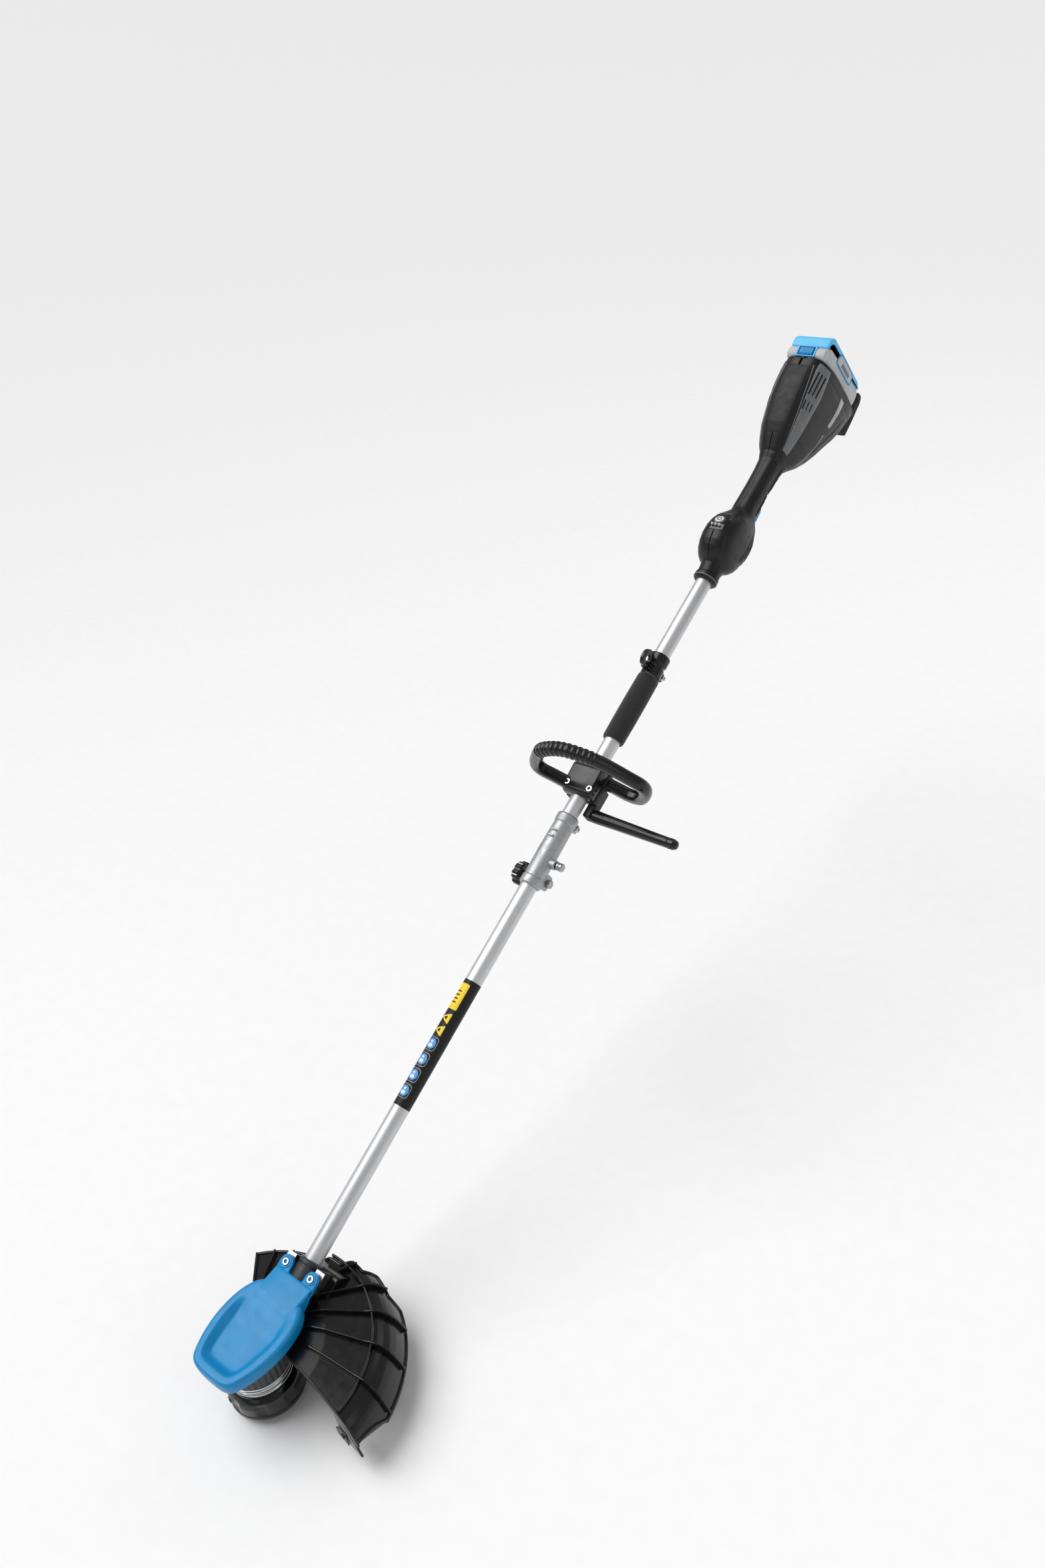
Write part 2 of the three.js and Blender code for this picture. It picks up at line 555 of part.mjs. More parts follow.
function coupler() {
  const body = turnedOnShaft([
    [0, COUPLER_START], [16, COUPLER_START], [17, COUPLER_START + 2], [17, COUPLER_START + 13],
    [15.8, COUPLER_START + 15], [16.8, 800], [16, COUPLER_END - 16], [17.2, COUPLER_END - 14],
    [17.2, COUPLER_END - 2], [16, COUPLER_END], [0, COUPLER_END],
  ], 20);
  const bore = bar('y', TUBE_RADIUS + GAP, COUPLER_START - 5, COUPLER_END + 5, [0, 0], 20);

  // Split clamps under each end: one drawn up by the knob, one by a screw.
  const lug = (at, halfLength, halfWidth, low) => box([-halfWidth, halfWidth], [at - halfLength, at + halfLength], [low, -10]);
  const clampLug = lug(CLAMP_AT, 12, 12, -29);
  const screwLug = lug(COUPLER_SCREW_AT, 7.5, 9, -27);
  const slit = (from, to) => box([-1, 1], [from, to], [-50, -8]);
  const pinBoss = bar('x', 7.5, 12, 25, [LOCK_PIN_AT, 0], 10);
  const cuts = [
    bore, slit(COUPLER_START - 5, COUPLER_START + 34), slit(COUPLER_END - 22, COUPLER_END + 5),
    bar('x', 3.6, -30, 30, [CLAMP_AT, BOLT_HEIGHT], 10), bar('x', 2.9, -30, 30, [COUPLER_SCREW_AT, -20], 10),
    bar('x', 3.4, 8, 40, [LOCK_PIN_AT, 0], 10), bar('x', 5.4, 19, 40, [LOCK_PIN_AT, 0], 10),
  ];
  place('coupler_body', cut(join(body, clampLug, screwLug, pinBoss), ...cuts), castAluminium, shaft);

  // The pin keys the lower tube, and its head stands out of the boss.
  place('lock_pin', turned([
    [0, 9], [3, 9], [3, 27], [6.4, 27], [6.4, 36], [5.2, 37.5], [0, 37.5],
  ], 10).rotateY(Math.PI / 2).translate(0, LOCK_PIN_AT, 0), plainSteel, shaft);

  const knob = outlineShape(Array.from({ length: 24 }, (_, i) => {
    const angle = i / 24 * 2 * Math.PI;
    const radius = 17 + 2 * Math.cos(6 * angle);
    return [radius * Math.cos(angle), radius * Math.sin(angle)];
  }));
  const knobSolid = topPlate(knob, 0, 15, 2)
    .rotateY(-Math.PI / 2)
    .translate(-KNOB_FACE, CLAMP_AT, BOLT_HEIGHT);
  const knobBore = bar('x', 3.5, -KNOB_FACE - 7, -10, [CLAMP_AT, BOLT_HEIGHT], 10);
  place('clamp_knob', cut(knobSolid, knobBore), blackPlastic, shaft);
  place('clamp_bolt', join(
    bar('x', 3.2, -KNOB_FACE - 6.6, 13, [CLAMP_AT, BOLT_HEIGHT], 10),
    bar('x', 6.5, -KNOB_FACE + GAP, -12.4, [CLAMP_AT, BOLT_HEIGHT], 10),
    bar('x', 6, 12.4, 18.5, [CLAMP_AT, BOLT_HEIGHT], 6),
  ), plainSteel, shaft);
  place('coupler_screw', cut(
    join(bar('x', 2.5, -8, 10, [COUPLER_SCREW_AT, -20], 10), bar('x', 4.6, 9.4, 14, [COUPLER_SCREW_AT, -20], 10)),
    bar('x', 2.2, 12, 17, [COUPLER_SCREW_AT, -20], 6),
  ), polishedSteel, shaft);
}

// ---------------------------------------------------------------------------
// Loop handle, its clamp, the barrier bar, foam sleeve and strap eye
// ---------------------------------------------------------------------------

const LOOP_ROLL = THREE.MathUtils.degToRad(26);   // the loop leans to the user's left

// Centre line of the loop: [across, along the shaft, up], about the rolled shaft frame.
const LOOP_ROUTE = [
  [-16, 909, 4], [-50, 909, 5], [-72, 909, 6], [-81, 910, 20], [-79, 911, 50], [-70, 913, 84],
  [-43, 919, 107], [-10, 924, 112], [22, 929, 104], [60, 934, 84], [82, 938, 66], [88, 939, 40],
  [83, 938, 12], [66, 938, -2], [44, 938, -3], [16, 938, -2],
];

function loopHandle() {
  const route = new THREE.CatmullRomCurve3(LOOP_ROUTE.map((p) => new THREE.Vector3(...p)), false, 'catmullrom', 0.5);
  const section = new THREE.Shape();
  section.absellipse(0, 0, 11, 11, 0, 2 * Math.PI);
  const loop = new THREE.ExtrudeGeometry(section, { steps: 26, curveSegments: 4, bevelEnabled: false, extrudePath: route });
  loop.rotateY(LOOP_ROLL);

  const saddleBody = sidePlate([
    [HANDLE_CLAMP_START, 1], [HANDLE_CLAMP_END, 1], [HANDLE_CLAMP_END, 15], [HANDLE_CLAMP_END - 8, 24],
    [HANDLE_CLAMP_START + 4, 21], [HANDLE_CLAMP_START, 12],
  ], 27, 2);
  const bore = bar('y', TUBE_RADIUS + GAP, 880, 970, [0, 0], 20);
  const below = box([-200, 200], [850, 1000], [-120, 0.6]);
  const lowerKept = common(cut(loop, box([-30, 30], [850, 1000], [-40, 60])), below);
  const arms = join(cut(loop, below), lowerKept);
  const screwHoles = [-1, 1].flatMap((side) => [
    bar('z', 3, -10, 40, [side * 21, HANDLE_SCREW_AT], 10),
    bar('z', 5.6, 17, 40, [side * 21, HANDLE_SCREW_AT], 10),
  ]);
  place('loop_handle', mainBody(cut(join(saddleBody, arms), bore, ...screwHoles)), blackPlastic, shaft);

  // Lower half of the clamp, carrying the bracket of the barrier bar.
  const clampHalf = sidePlate([
    [HANDLE_CLAMP_START, 0.2], [HANDLE_CLAMP_START, -14], [HANDLE_CLAMP_START + 6, -19],
    [HANDLE_CLAMP_END - 6, -19], [HANDLE_CLAMP_END, -14], [HANDLE_CLAMP_END, 0.2],
  ], 27, 1.5);
  const bracket = box([12, 25], [874, 930], [-29.5, -10]);
  const clampHoles = [-1, 1].map((side) => bar('z', 2.9, -30, 5, [side * 21, HANDLE_SCREW_AT], 10));
  const armWay = loop.clone().scale(1.04, 1, 1.04);
  const clampCut = cut(join(clampHalf, bracket), bore, box([-40, 40], [880, 970], [0.3, 10]), ...clampHoles,
    bar('x', 7 + GAP, 10, 60, [884, -20], 20));
  place('handle_clamp', cut(clampCut, armWay), blackPlastic, shaft);

  [['handle_screw_left', 1], ['handle_screw_right', -1]].forEach(([name, side]) => {
    const head = bar('z', 5, 17.4, 22, [side * 21, HANDLE_SCREW_AT], 10);
    const shank = bar('z', 2.5, -15, 18, [side * 21, HANDLE_SCREW_AT], 12);
    place(name, cut(join(head, shank), bar('z', 2.3, 20, 25, [side * 21, HANDLE_SCREW_AT], 6)), polishedSteel, shaft);
  });

  // A tapering bar that keeps the user's leg away from the head.
  const barrierProfile = [[0, 15], [7, 15], [7, 25.4], [10, 26], [9.6, 60], [8, 168], [6.4, 175], [3, 178], [0, 178]];
  place('barrier_bar', turned(barrierProfile, 14).rotateY(Math.PI / 2).translate(0, 884, -20), blackPlastic, shaft);

  place('foam_sleeve', turnedOnShaft([
    [TUBE_RADIUS + GAP, FOAM_START], [16.5, FOAM_START], [18, FOAM_START + 3], [18, FOAM_END - 3],
    [16.5, FOAM_END], [TUBE_RADIUS + GAP, FOAM_END],
  ]), foamRubber, shaft);

  // Two rings around the tube with a groove between, an eye plate on top and a screw ear below.
  const [ringStart, grooveStart, grooveEnd, ringEnd] = [-13, 6, 10, 25].map((offset) => STRAP_EYE_AT + offset);
  const band = join(bar('y', 16.6, ringStart, grooveStart, [0, 0], 20), bar('y', 15.4, grooveStart, grooveEnd, [0, 0], 20),
    bar('y', 16.6, grooveEnd, ringEnd, [0, 0], 20));
  const eye = cut(
    join(sidePlate([[ringStart, 10], [STRAP_EYE_AT + 18, 10], [STRAP_EYE_AT + 16, 34], [STRAP_EYE_AT + 11, 42],
      [STRAP_EYE_AT + 4, 46], [STRAP_EYE_AT - 4, 46], [STRAP_EYE_AT - 10, 42], [ringStart, 35]], 2.5, 0.6), band),
    bar('x', 6.3, -10, 10, [STRAP_EYE_AT, 30], 12),
  );
  const ear = box([-7, 7], [STRAP_EYE_AT - 8, STRAP_EYE_AT + 8], [-27, -12]);
  place('strap_eye', cut(
    join(eye, ear), bar('y', TUBE_RADIUS + GAP, 1100, 1170, [0, 0], 20),
    box([-0.8, 0.8], [1100, 1170], [-40, -8]), bar('x', 2.6, -20, 20, [STRAP_EYE_AT, -21], 10),
  ), blackPlastic, shaft);
  place('strap_screw', cut(
    join(bar('x', 2.2, -9, 8, [STRAP_EYE_AT, -21], 12), bar('x', 4.4, 7.4, 11.6, [STRAP_EYE_AT, -21], 10)),
    bar('x', 2, 9.6, 14, [STRAP_EYE_AT, -21], 6),
  ), polishedSteel, shaft);
}

// ---------------------------------------------------------------------------
// Rear housing: front bulge, grip and tail as one pair of shells
// ---------------------------------------------------------------------------

// Sections along the shaft: [distance, half width, top, bottom].
const HOUSING_SECTIONS = [
  [HOUSING_START, 18.5, 18.5, -18.5], [1338, 19, 19.5, -19], [1343, 25, 29, -26], [1354, 29, 41, -34],
  [1374, 30.5, 49, -40], [1398, 30.5, 48, -43], [1418, 28, 40, -43], [1433, 23, 28, -43], [1443, 20, 22, -38],
  [1450, 19, 21, -18], [1500, 18, 21, -17], [1546, 19, 23, -19], [1566, 26, 33, -32], [1600, 35, 53, -53],
  [1650, 41, 68, -72], [1700, 44, 76, -90], [1745, 44.5, 79, -97], [1780, 44.5, 80, -98],
];
const SQUARENESS = 2.8;

// A point on the housing's outside: distance, angle from +X, and an offset outwards.
function housingPoint(at, angle, offset = 0) {
  let i = 0;
  while (i + 2 < HOUSING_SECTIONS.length && HOUSING_SECTIONS[i + 1][0] < at) i += 1;
  const [low, high] = [HOUSING_SECTIONS[i], HOUSING_SECTIONS[i + 1]];
  const mix = Math.min(Math.max((at - low[0]) / (high[0] - low[0]), 0), 1);
  const [half, top, bottom] = [1, 2, 3].map((k) => low[k] + (high[k] - low[k]) * mix);
  const bend = (value) => Math.sign(value) * Math.abs(value) ** (2 / SQUARENESS);
  return [
    (half + offset) * bend(Math.cos(angle)),
    at,
    (top + bottom) / 2 + ((top - bottom) / 2 + offset) * bend(Math.sin(angle)),
  ];
}

function housingLoft(offset, from, to, sides = 16) {
  const stations = HOUSING_SECTIONS.map(([at]) => at).filter((at) => at > from && at < to);
  return loft([from, ...stations, to].map((at) => Array.from({ length: sides }, (_, j) => (
    housingPoint(at, -j / sides * 2 * Math.PI, offset)))));
}

// A patch that lies on the housing: distances, angles in degrees, inner and outer offset.
function housingPatch(atRange, angleAt, inner, outer, lengthSteps = 8, angleSteps = 3) {
  const rings = [];
  for (let i = 0; i <= lengthSteps; i += 1) {
    const along = i / lengthSteps;
    const at = atRange[0] + (atRange[1] - atRange[0]) * along;
    const [low, high] = angleAt(along).map(THREE.MathUtils.degToRad);
    const spread = Array.from({ length: angleSteps + 1 }, (_, j) => low + (high - low) * j / angleSteps);
    rings.push([
      ...spread.map((angle) => housingPoint(at, angle, inner)),
      ...spread.reverse().map((angle) => housingPoint(at, angle, outer)),
    ]);
  }
  return loft(rings);
}

// The battery face: a frame whose Z runs up the face and whose Y leaves it.
const batteryMatrix = new THREE.Matrix4()
  .makeTranslation(0, REAR_FACE_AT, REAR_FACE_TOP)
  .multiply(new THREE.Matrix4().makeRotationX(REAR_FACE_TILT));
const fromBattery = (geometry) => geometry.applyMatrix4(batteryMatrix);
const battery = new THREE.Group();
battery.position.set(0, REAR_FACE_AT, REAR_FACE_TOP);
battery.rotation.x = REAR_FACE_TILT;
shaft.add(battery);

const SKIN_GAP = 1.2;             // under thin panels that follow the curved shells
const TRIGGER_WAY = [[1447, 1496], [-60, -6]];
const BUTTON_AT = 1380;           // before it is tilted back with the panel
const BUTTON_TILT = -0.35;

function rearHousing() {
  const wall = 2.8;
  const outer = housingLoft(0, HOUSING_START, 1780);
  const inner = housingLoft(-wall, HOUSING_START + 22, 1790);
  const behindFace = fromBattery(box([-80, 80], [0, 120], [-220, 60]));
  const endWall = common(housingLoft(-wall - GAP, 1650, 1790), fromBattery(box([-80, 80], [-3, 0], [-220, 60])));
  const railWay = fromBattery(box([-26, 26], [-14, 5], [-118, 20]));
  const railPocket = cut(
    common(fromBattery(box([-29, 29], [-17, 0], [-121, 20])), housingLoft(-1, 1600, 1790)), railWay);
  const cuts = [
    behindFace,
    bar('y', TUBE_RADIUS + GAP, HOUSING_START - 5, HOUSING_START + 60, [0, 0], 20),
    box([-8, 8], ...TRIGGER_WAY),
    box([-6, 6], [1434, 1447], [-70, -20]),
    bar('z', 8.4, 30, 70).rotateX(BUTTON_TILT).translate(0, BUTTON_AT, 0),
    railWay,
  ];
  const shell = cut(join(cut(outer, inner), endWall, railPocket), ...cuts);
  const left = common(shell, box([GAP / 2, 80], [1200, 1900], [-150, 150]));
  const right = common(shell, box([-80, -GAP / 2], [1200, 1900], [-150, 150]));
  place('housing_left', left, blackPlastic, shaft);
  place('housing_right', right, blackPlastic, shaft);

  place('housing_collar', turnedOnShaft([
    [TUBE_RADIUS + GAP, 1309], [17, 1309], [20, 1312], [20, HOUSING_START - GAP],
    [TUBE_RADIUS + GAP, HOUSING_START - GAP],
  ]), blackPlastic, shaft);

  // Grey vented side panels, narrow at the grip and wide at the battery.
  const ventAngles = (along) => [20 + 4 * along, 40 + 16 * along];
  const mirrored = (angles) => angles.map((angle) => 180 - angle).reverse();
  const slots = (side) => Array.from({ length: 6 }, (_, i) => {
    const at = 1652 + i * 10;
    return box([side > 0 ? 15 : -60, side > 0 ? 60 : -15], [at, at + 4], [42, 59]);
  });
  place('side_vent_left', cut(housingPatch([1568, 1714], ventAngles, SKIN_GAP, 3), ...slots(1)), greyPlastic, shaft);
  place('side_vent_right', cut(
    housingPatch([1568, 1714], (along) => mirrored(ventAngles(along)), SKIN_GAP, 3), ...slots(-1)), greyPlastic, shaft);

  // Control panel on the bulge's rear slope, with the power button through it.
  const panelShape = outlineShape([
    [-17, -13], [17, -13], [20, -9], [20, 20], [16, 24], [-16, 24], [-20, 20], [-20, -9],
  ]);
  panelShape.holes.push(new THREE.Path().absarc(0, 0, 8.8, 0, 2 * Math.PI, true));
  place('control_panel', topPlate(panelShape, 52.2, 54.8, 0.8, 6)
    .rotateX(BUTTON_TILT).translate(0, BUTTON_AT, 0), blackPlastic, shaft);
  place('power_button', bar('z', 7.4, 46, 56).rotateX(BUTTON_TILT).translate(0, BUTTON_AT, 0), greyPlastic, shaft);

  // Soft inlays on both sides of the grip.
  const inlayAngles = () => [-52, -12];
  place('grip_inlay_left', housingPatch([1508, 1556], inlayAngles, GAP, 1.6, 4, 3), softRubber, shaft);
  place('grip_inlay_right', housingPatch([1508, 1556], () => mirrored(inlayAngles()), GAP, 1.6, 4, 3), softRubber, shaft);

  place('trigger', sidePlate([
    [1449, -10], [1450, -24], [1454, -32], [1461, -34], [1480, -32], [1488, -25], [1493, -14], [1492, -9], [1482, -8],
  ], 7, 1.5), bluePlastic, shaft);
  place('lock_off', sidePlate([
    [1436, -24], [1435.5, -44], [1437, -50], [1443, -50], [1445.5, -44], [1445.5, -24],
  ], 5, 1), bluePlastic, shaft);

  place('trigger_switch', box([-7, 7], [1458, 1490], [1, 12]), blackPlastic, shaft);
  place('control_board', box([-24, 24], [1604, 1676], [-18, -15]), boardGreen, shaft);
  place('terminal_block', fromBattery(box([-20, 20], [-12, -2], [-117.6, -110.4])), blackPlastic, shaft);

  place('rear_foot', cut(
    fromBattery(sidePlate([
      [-34, -172], [-6, -174], [34, -174], [44, -169], [44, -158], [40, -153], [4, -153], [2, -158], [-34, -158],
    ], 30, 2)),
    housingLoft(GAP, 1500, 1779),
  ), softRubber, shaft);
}

// ---------------------------------------------------------------------------
// Battery pack: slides up and off the rear face
// ---------------------------------------------------------------------------

function batteryPack() {
  const w = BATTERY_HALF_WIDTH;
  const low = -BATTERY_HEIGHT - 4;
  const seam = 20;
  const lowerCase = sidePlate([
    [0.6, low], [seam - 6, low - 3], [seam + 10, low - 3], [seam + 16, low + 4], [seam + 16, -9],
    [seam, -1], [0.6, -1],
  ], w, 2.5);
  const rail = box([-24, 24], [-10, 2], [-108, -3]);
  const latchPocket = box([-LATCH_HALF_WIDTH - 0.6, LATCH_HALF_WIDTH + 0.6], [4.4, 19.6], [-5, 10]);
  place('battery_case', cut(join(lowerCase, rail), latchPocket), paleGreyPlastic, battery);

  const shell = sidePlate([
    [seam + 16 + GAP, low + 2], [BATTERY_DEPTH - 8, low + 2], [BATTERY_DEPTH, low + 10], [BATTERY_DEPTH, -9],
    [BATTERY_DEPTH - 8, 1], [seam + 6.4, 1], [seam + 16 + GAP, -9],
  ], w, 2.5);
  place('battery_lid', shell, lightBluePlastic, battery);
  place('battery_latch', sidePlate([[5, -1 + GAP], [5, 4], [8, 6], [19, 6], [19, -1 + GAP]], LATCH_HALF_WIDTH, 1), bluePlastic, battery);
}

// ---------------------------------------------------------------------------

lineHead();
motor();
headCover();
guardBracket();
guard();
shaftTubes();
coupler();
loopHandle();
rearHousing();
batteryPack();

export default trimmer;
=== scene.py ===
"""Battery string trimmer: the finished look, built round the packed part."""

import json

import bmesh
import bpy
import numpy as np
from mathutils import Matrix, Vector


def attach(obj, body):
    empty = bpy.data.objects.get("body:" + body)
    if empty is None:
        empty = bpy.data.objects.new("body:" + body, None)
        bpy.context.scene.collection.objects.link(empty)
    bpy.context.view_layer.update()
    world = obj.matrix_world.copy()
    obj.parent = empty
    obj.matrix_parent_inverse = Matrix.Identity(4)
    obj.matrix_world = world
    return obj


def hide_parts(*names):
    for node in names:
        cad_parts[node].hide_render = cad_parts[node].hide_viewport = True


bl_info = {
    "name": "Battery String Trimmer",
    "version": (1, 0, 0),
    "blender": (4, 5, 0),
    "location": "View3D > Sidebar > Trimmer",
    "description": "Builds the detailed surfaces and finishes of a battery string trimmer",
    "category": "Add Mesh",
}

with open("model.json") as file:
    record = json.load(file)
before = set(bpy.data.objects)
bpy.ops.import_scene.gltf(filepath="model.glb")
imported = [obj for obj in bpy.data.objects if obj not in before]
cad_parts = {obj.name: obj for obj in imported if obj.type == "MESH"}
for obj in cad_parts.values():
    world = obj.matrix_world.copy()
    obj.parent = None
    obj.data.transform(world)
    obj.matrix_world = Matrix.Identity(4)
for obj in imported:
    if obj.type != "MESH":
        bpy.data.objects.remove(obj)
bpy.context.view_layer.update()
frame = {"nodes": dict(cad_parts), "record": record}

# ---------------------------------------------------------------------------
# Sizes, in millimetres along the shaft (s), across (x) and above it (h)
# ---------------------------------------------------------------------------

MM = 0.001
TAU = 2 * np.pi
TILT = np.radians(28)
SHAFT_HEIGHT = 76.0
FACE_AT, FACE_TOP, FACE_TILT = 1717.0, 70.0, np.arctan(0.17)
TUBE_RADIUS = 13.0
SOCKET = (88, 140)
COUPLER = (741, 864)
FOAM = (1002, 1122)
HOUSING_START = 1322
CLAMP_AT, BOLT_HEIGHT, KNOB_FACE = 760, -22, 31
LOCK_PIN_AT, COUPLER_SCREW_AT = 785, 855
HANDLE_CLAMP = (896, 950)
HANDLE_SCREW_AT = 909
STRAP_EYE_AT = 1137
LOOP_ROLL = np.radians(26)
MOTOR_RADIUS, MOTOR_FLOOR, MOTOR_TOP = 47, 62.4, 114
COVER_TOP, COVER_TILT = 136, np.arctan(0.097)
EAR_TOP, EAR_X, EAR_AT = 18, 25, 121.5
GUARD_INNER, GUARD_RIB, GUARD_RIM, GUARD_SIDE = 51.5, 162, 200, 192.5
GUARD_END, GUARD_FRONT_SLOPE, GUARD_FRONT = 138, -0.141, 24.8
BUTTON_AT, BUTTON_TILT = 1380, -0.35

# ---------------------------------------------------------------------------
# Frames
# ---------------------------------------------------------------------------


def upright(points):
    """Points already measured from the foot of the bump knob, in metres."""
    return np.asarray(points, float) * MM


def tilted(points, angle):
    """Points turned about X: y and z mix by the angle's cosine and sine."""
    p = np.asarray(points, float)
    c, s = np.cos(angle), np.sin(angle)
    return np.stack([p[..., 0], c * p[..., 1] - s * p[..., 2], s * p[..., 1] + c * p[..., 2]], -1)


def on_shaft(points):
    """(across, along, above) the shaft, turned up by the shaft's tilt and raised to its height."""
    return upright(tilted(points, TILT) + (0, 0, SHAFT_HEIGHT))


def on_face(points):
    """(across, out of, up) the battery face, turned onto the shaft and then up with it."""
    return on_shaft(tilted(points, FACE_TILT) + (0, FACE_AT, FACE_TOP))


def along_shaft(points):
    """A solid turned about Z, laid so that its Z runs along the shaft."""
    p = np.asarray(points, float)
    return on_shaft(np.stack([p[..., 0], p[..., 2], -p[..., 1]], -1))


def across_shaft(at, height, sign=1):
    """A solid turned about Z, laid so that its Z points to the left (or right) of the shaft."""
    def place(points):
        p = np.asarray(points, float)
        return on_shaft(np.stack([sign * p[..., 2], at + p[..., 0], height + sign * p[..., 1]], -1))
    return place


def above_shaft(x, at, height=0):
    """A solid turned about Z, standing square on the shaft."""
    def place(points):
        return on_shaft(np.asarray(points, float) + (x, at, height))
    return place


# ---------------------------------------------------------------------------
# Curves and surfaces
# ---------------------------------------------------------------------------


def smoothstep(value, low, high):
    """0 below low, 1 above high and 3t^2 - 2t^3 between them."""
    t = np.clip((np.asarray(value, float) - low) / (high - low), 0, 1)
    return t * t * (3 - 2 * t)


def rounded(points, radius, steps=5, closed=True):
    """A polygon whose corners are quadratic Bezier arcs that start a radius before the corner."""
    p = np.asarray(points, float)
    before, after = np.roll(p, 1, 0) - p, np.roll(p, -1, 0) - p
    reach = [np.linalg.norm(v, axis=1, keepdims=True) for v in (before, after)]
    cut = np.minimum(radius, 0.48 * np.minimum(*reach))
    a = p + before / np.maximum(reach[0], 1e-9) * cut
    b = p + after / np.maximum(reach[1], 1e-9) * cut
    t = np.linspace(0, 1, steps)[None, :, None]
    arcs = (1 - t) ** 2 * a[:, None] + 2 * t * (1 - t) * p[:, None] + t ** 2 * b[:, None]
    if closed:
        return arcs.reshape(-1, p.shape[1])
    return np.concatenate([p[:1], arcs[1:-1].reshape(-1, p.shape[1]), p[-1:]])


def smooth_path(points, count):
    """A Catmull-Rom curve through the points: on each span a cubic from its four nearest points."""
    p = np.asarray(points, float)
    p = np.concatenate([2 * p[:1] - p[1:2], p, 2 * p[-1:] - p[-2:-1]])
    u = np.linspace(0, len(p) - 3 - 1e-9, count)
    i, t = u.astype(int), (u % 1)[:, None]
    a, b, c, d = p[i], p[i + 1], p[i + 2], p[i + 3]
    return 0.5 * (2 * b + (c - a) * t + (2 * a - 5 * b + 4 * c - d) * t ** 2 + (3 * b - a - 3 * c + d) *
        t ** 3)


def loft(rings, wrap=False):
    """Rows of rings, joined by quads, with each end ring filled (or, wrapped, joined to the other)."""
    rings = np.asarray(rings, float)
    n, m = rings.shape[:2]
    i = np.arange(n if wrap else n - 1)[:, None]
    j = np.arange(m)[None, :]
    a, b = i * m + j, i * m + (j + 1) % m
    c, d = (i + 1) % n * m + (j + 1) % m, (i + 1) % n * m + j
    faces = np.stack([a, b, c, d], -1).reshape(-1, 4).tolist()
    if not wrap:
        faces += [list(range(m))[::-1], list(range((n - 1) * m, n * m))]
    return rings.reshape(-1, 3), faces


def turned(profile, segments=72, shape=None):
    """A profile of (radius, height) carried round Z; shape(angle, radius, height) scales the radius."""
    p = np.asarray(profile, float)
    angle = np.linspace(0, TAU, segments, endpoint=False)[None, :]
    radius, height = p[:, :1] + 0 * angle, p[:, 1:] + 0 * angle
    if shape is not None:
        radius = radius * shape(angle, radius, height)
    ring = np.stack([radius * np.cos(angle), radius * np.sin(angle), height], -1)
    hollow = p[0, 0] > 1e-6
    return loft(ring, wrap=hollow)


def spun(profile, radius=1.0, segments=72, shape=None):
    """Turned from a profile whose corners are rounded first; closed unless it starts on the axis."""
    closed = profile[0][0] > 1e-6
    return turned(rounded(profile, radius, 5, closed), segments, shape)


def inset(outline, distance):
    """Each point of a closed outline moved inwards along its own normal."""
    p = np.asarray(outline, float)
    along = np.roll(p, -1, 0) - np.roll(p, 1, 0)
    normal = np.stack([-along[:, 1], along[:, 0]], -1)
    normal /= np.maximum(np.linalg.norm(normal, axis=1, keepdims=True), 1e-9)
    area = np.sum(p[:, 0] * np.roll(p[:, 1], -1) - np.roll(p[:, 0], -1) * p[:, 1])
    return p + normal * distance * np.sign(area)


def plate(outline, low, high, edge=1.0, steps=4):
    """An outline given height, with each edge a quarter circle of the edge's radius."""
    turn = np.linspace(0, np.pi / 2, steps)
    levels = [(edge * (1 - np.sin(t)), low + edge * (1 - np.cos(t))) for t in turn]
    levels += [(edge * (1 - np.sin(t)), high - edge * (1 - np.cos(t))) for t in turn[::-1]]
    rings = [np.column_stack([inset(outline, d), np.full(len(outline), z)]) for d, z in levels]
    return loft(np.array(rings))


def on_edge(part):
    """A plate drawn in (along, above) and thick across the shaft."""
    points, faces = part
    return points[:, [2, 0, 1]], faces


def sweep(path, sections, reference):
    """Closed sections carried along a path, square to it, with their second axis near the reference."""
    path = np.asarray(path, float)
    tangent = np.gradient(path, axis=0)
    tangent /= np.linalg.norm(tangent, axis=1, keepdims=True)
    side = np.cross(tangent, np.broadcast_to(reference, path.shape))
    side /= np.linalg.norm(side, axis=1, keepdims=True)
    up = np.cross(side, tangent)
    sections = np.broadcast_to(sections, (len(path),) + np.shape(sections)[-2:])
    return loft(path[:, None] + sections[..., :1] * side[:, None] + sections[..., 1:] * up[:, None])


def oval(half_wide, half_high, power=2.0, count=40):
    """A superellipse: cosine and sine raised to 2 over the power, keeping their signs."""
    angle = np.linspace(0, TAU, count, endpoint=False)
    bend = lambda v: np.sign(v) * np.abs(v) ** (2 / power)
    return np.stack([half_wide * bend(np.cos(angle)), half_high * bend(np.sin(angle))], -1)


def shell(top, under):
    """A sheet between two grids of the same size, closed round its edges."""
    return loft(np.concatenate([top, under[:, ::-1]], axis=1))


def placed(part, place):
    points, faces = part
    return place(points), faces


# ---------------------------------------------------------------------------
# Finishes
# ---------------------------------------------------------------------------


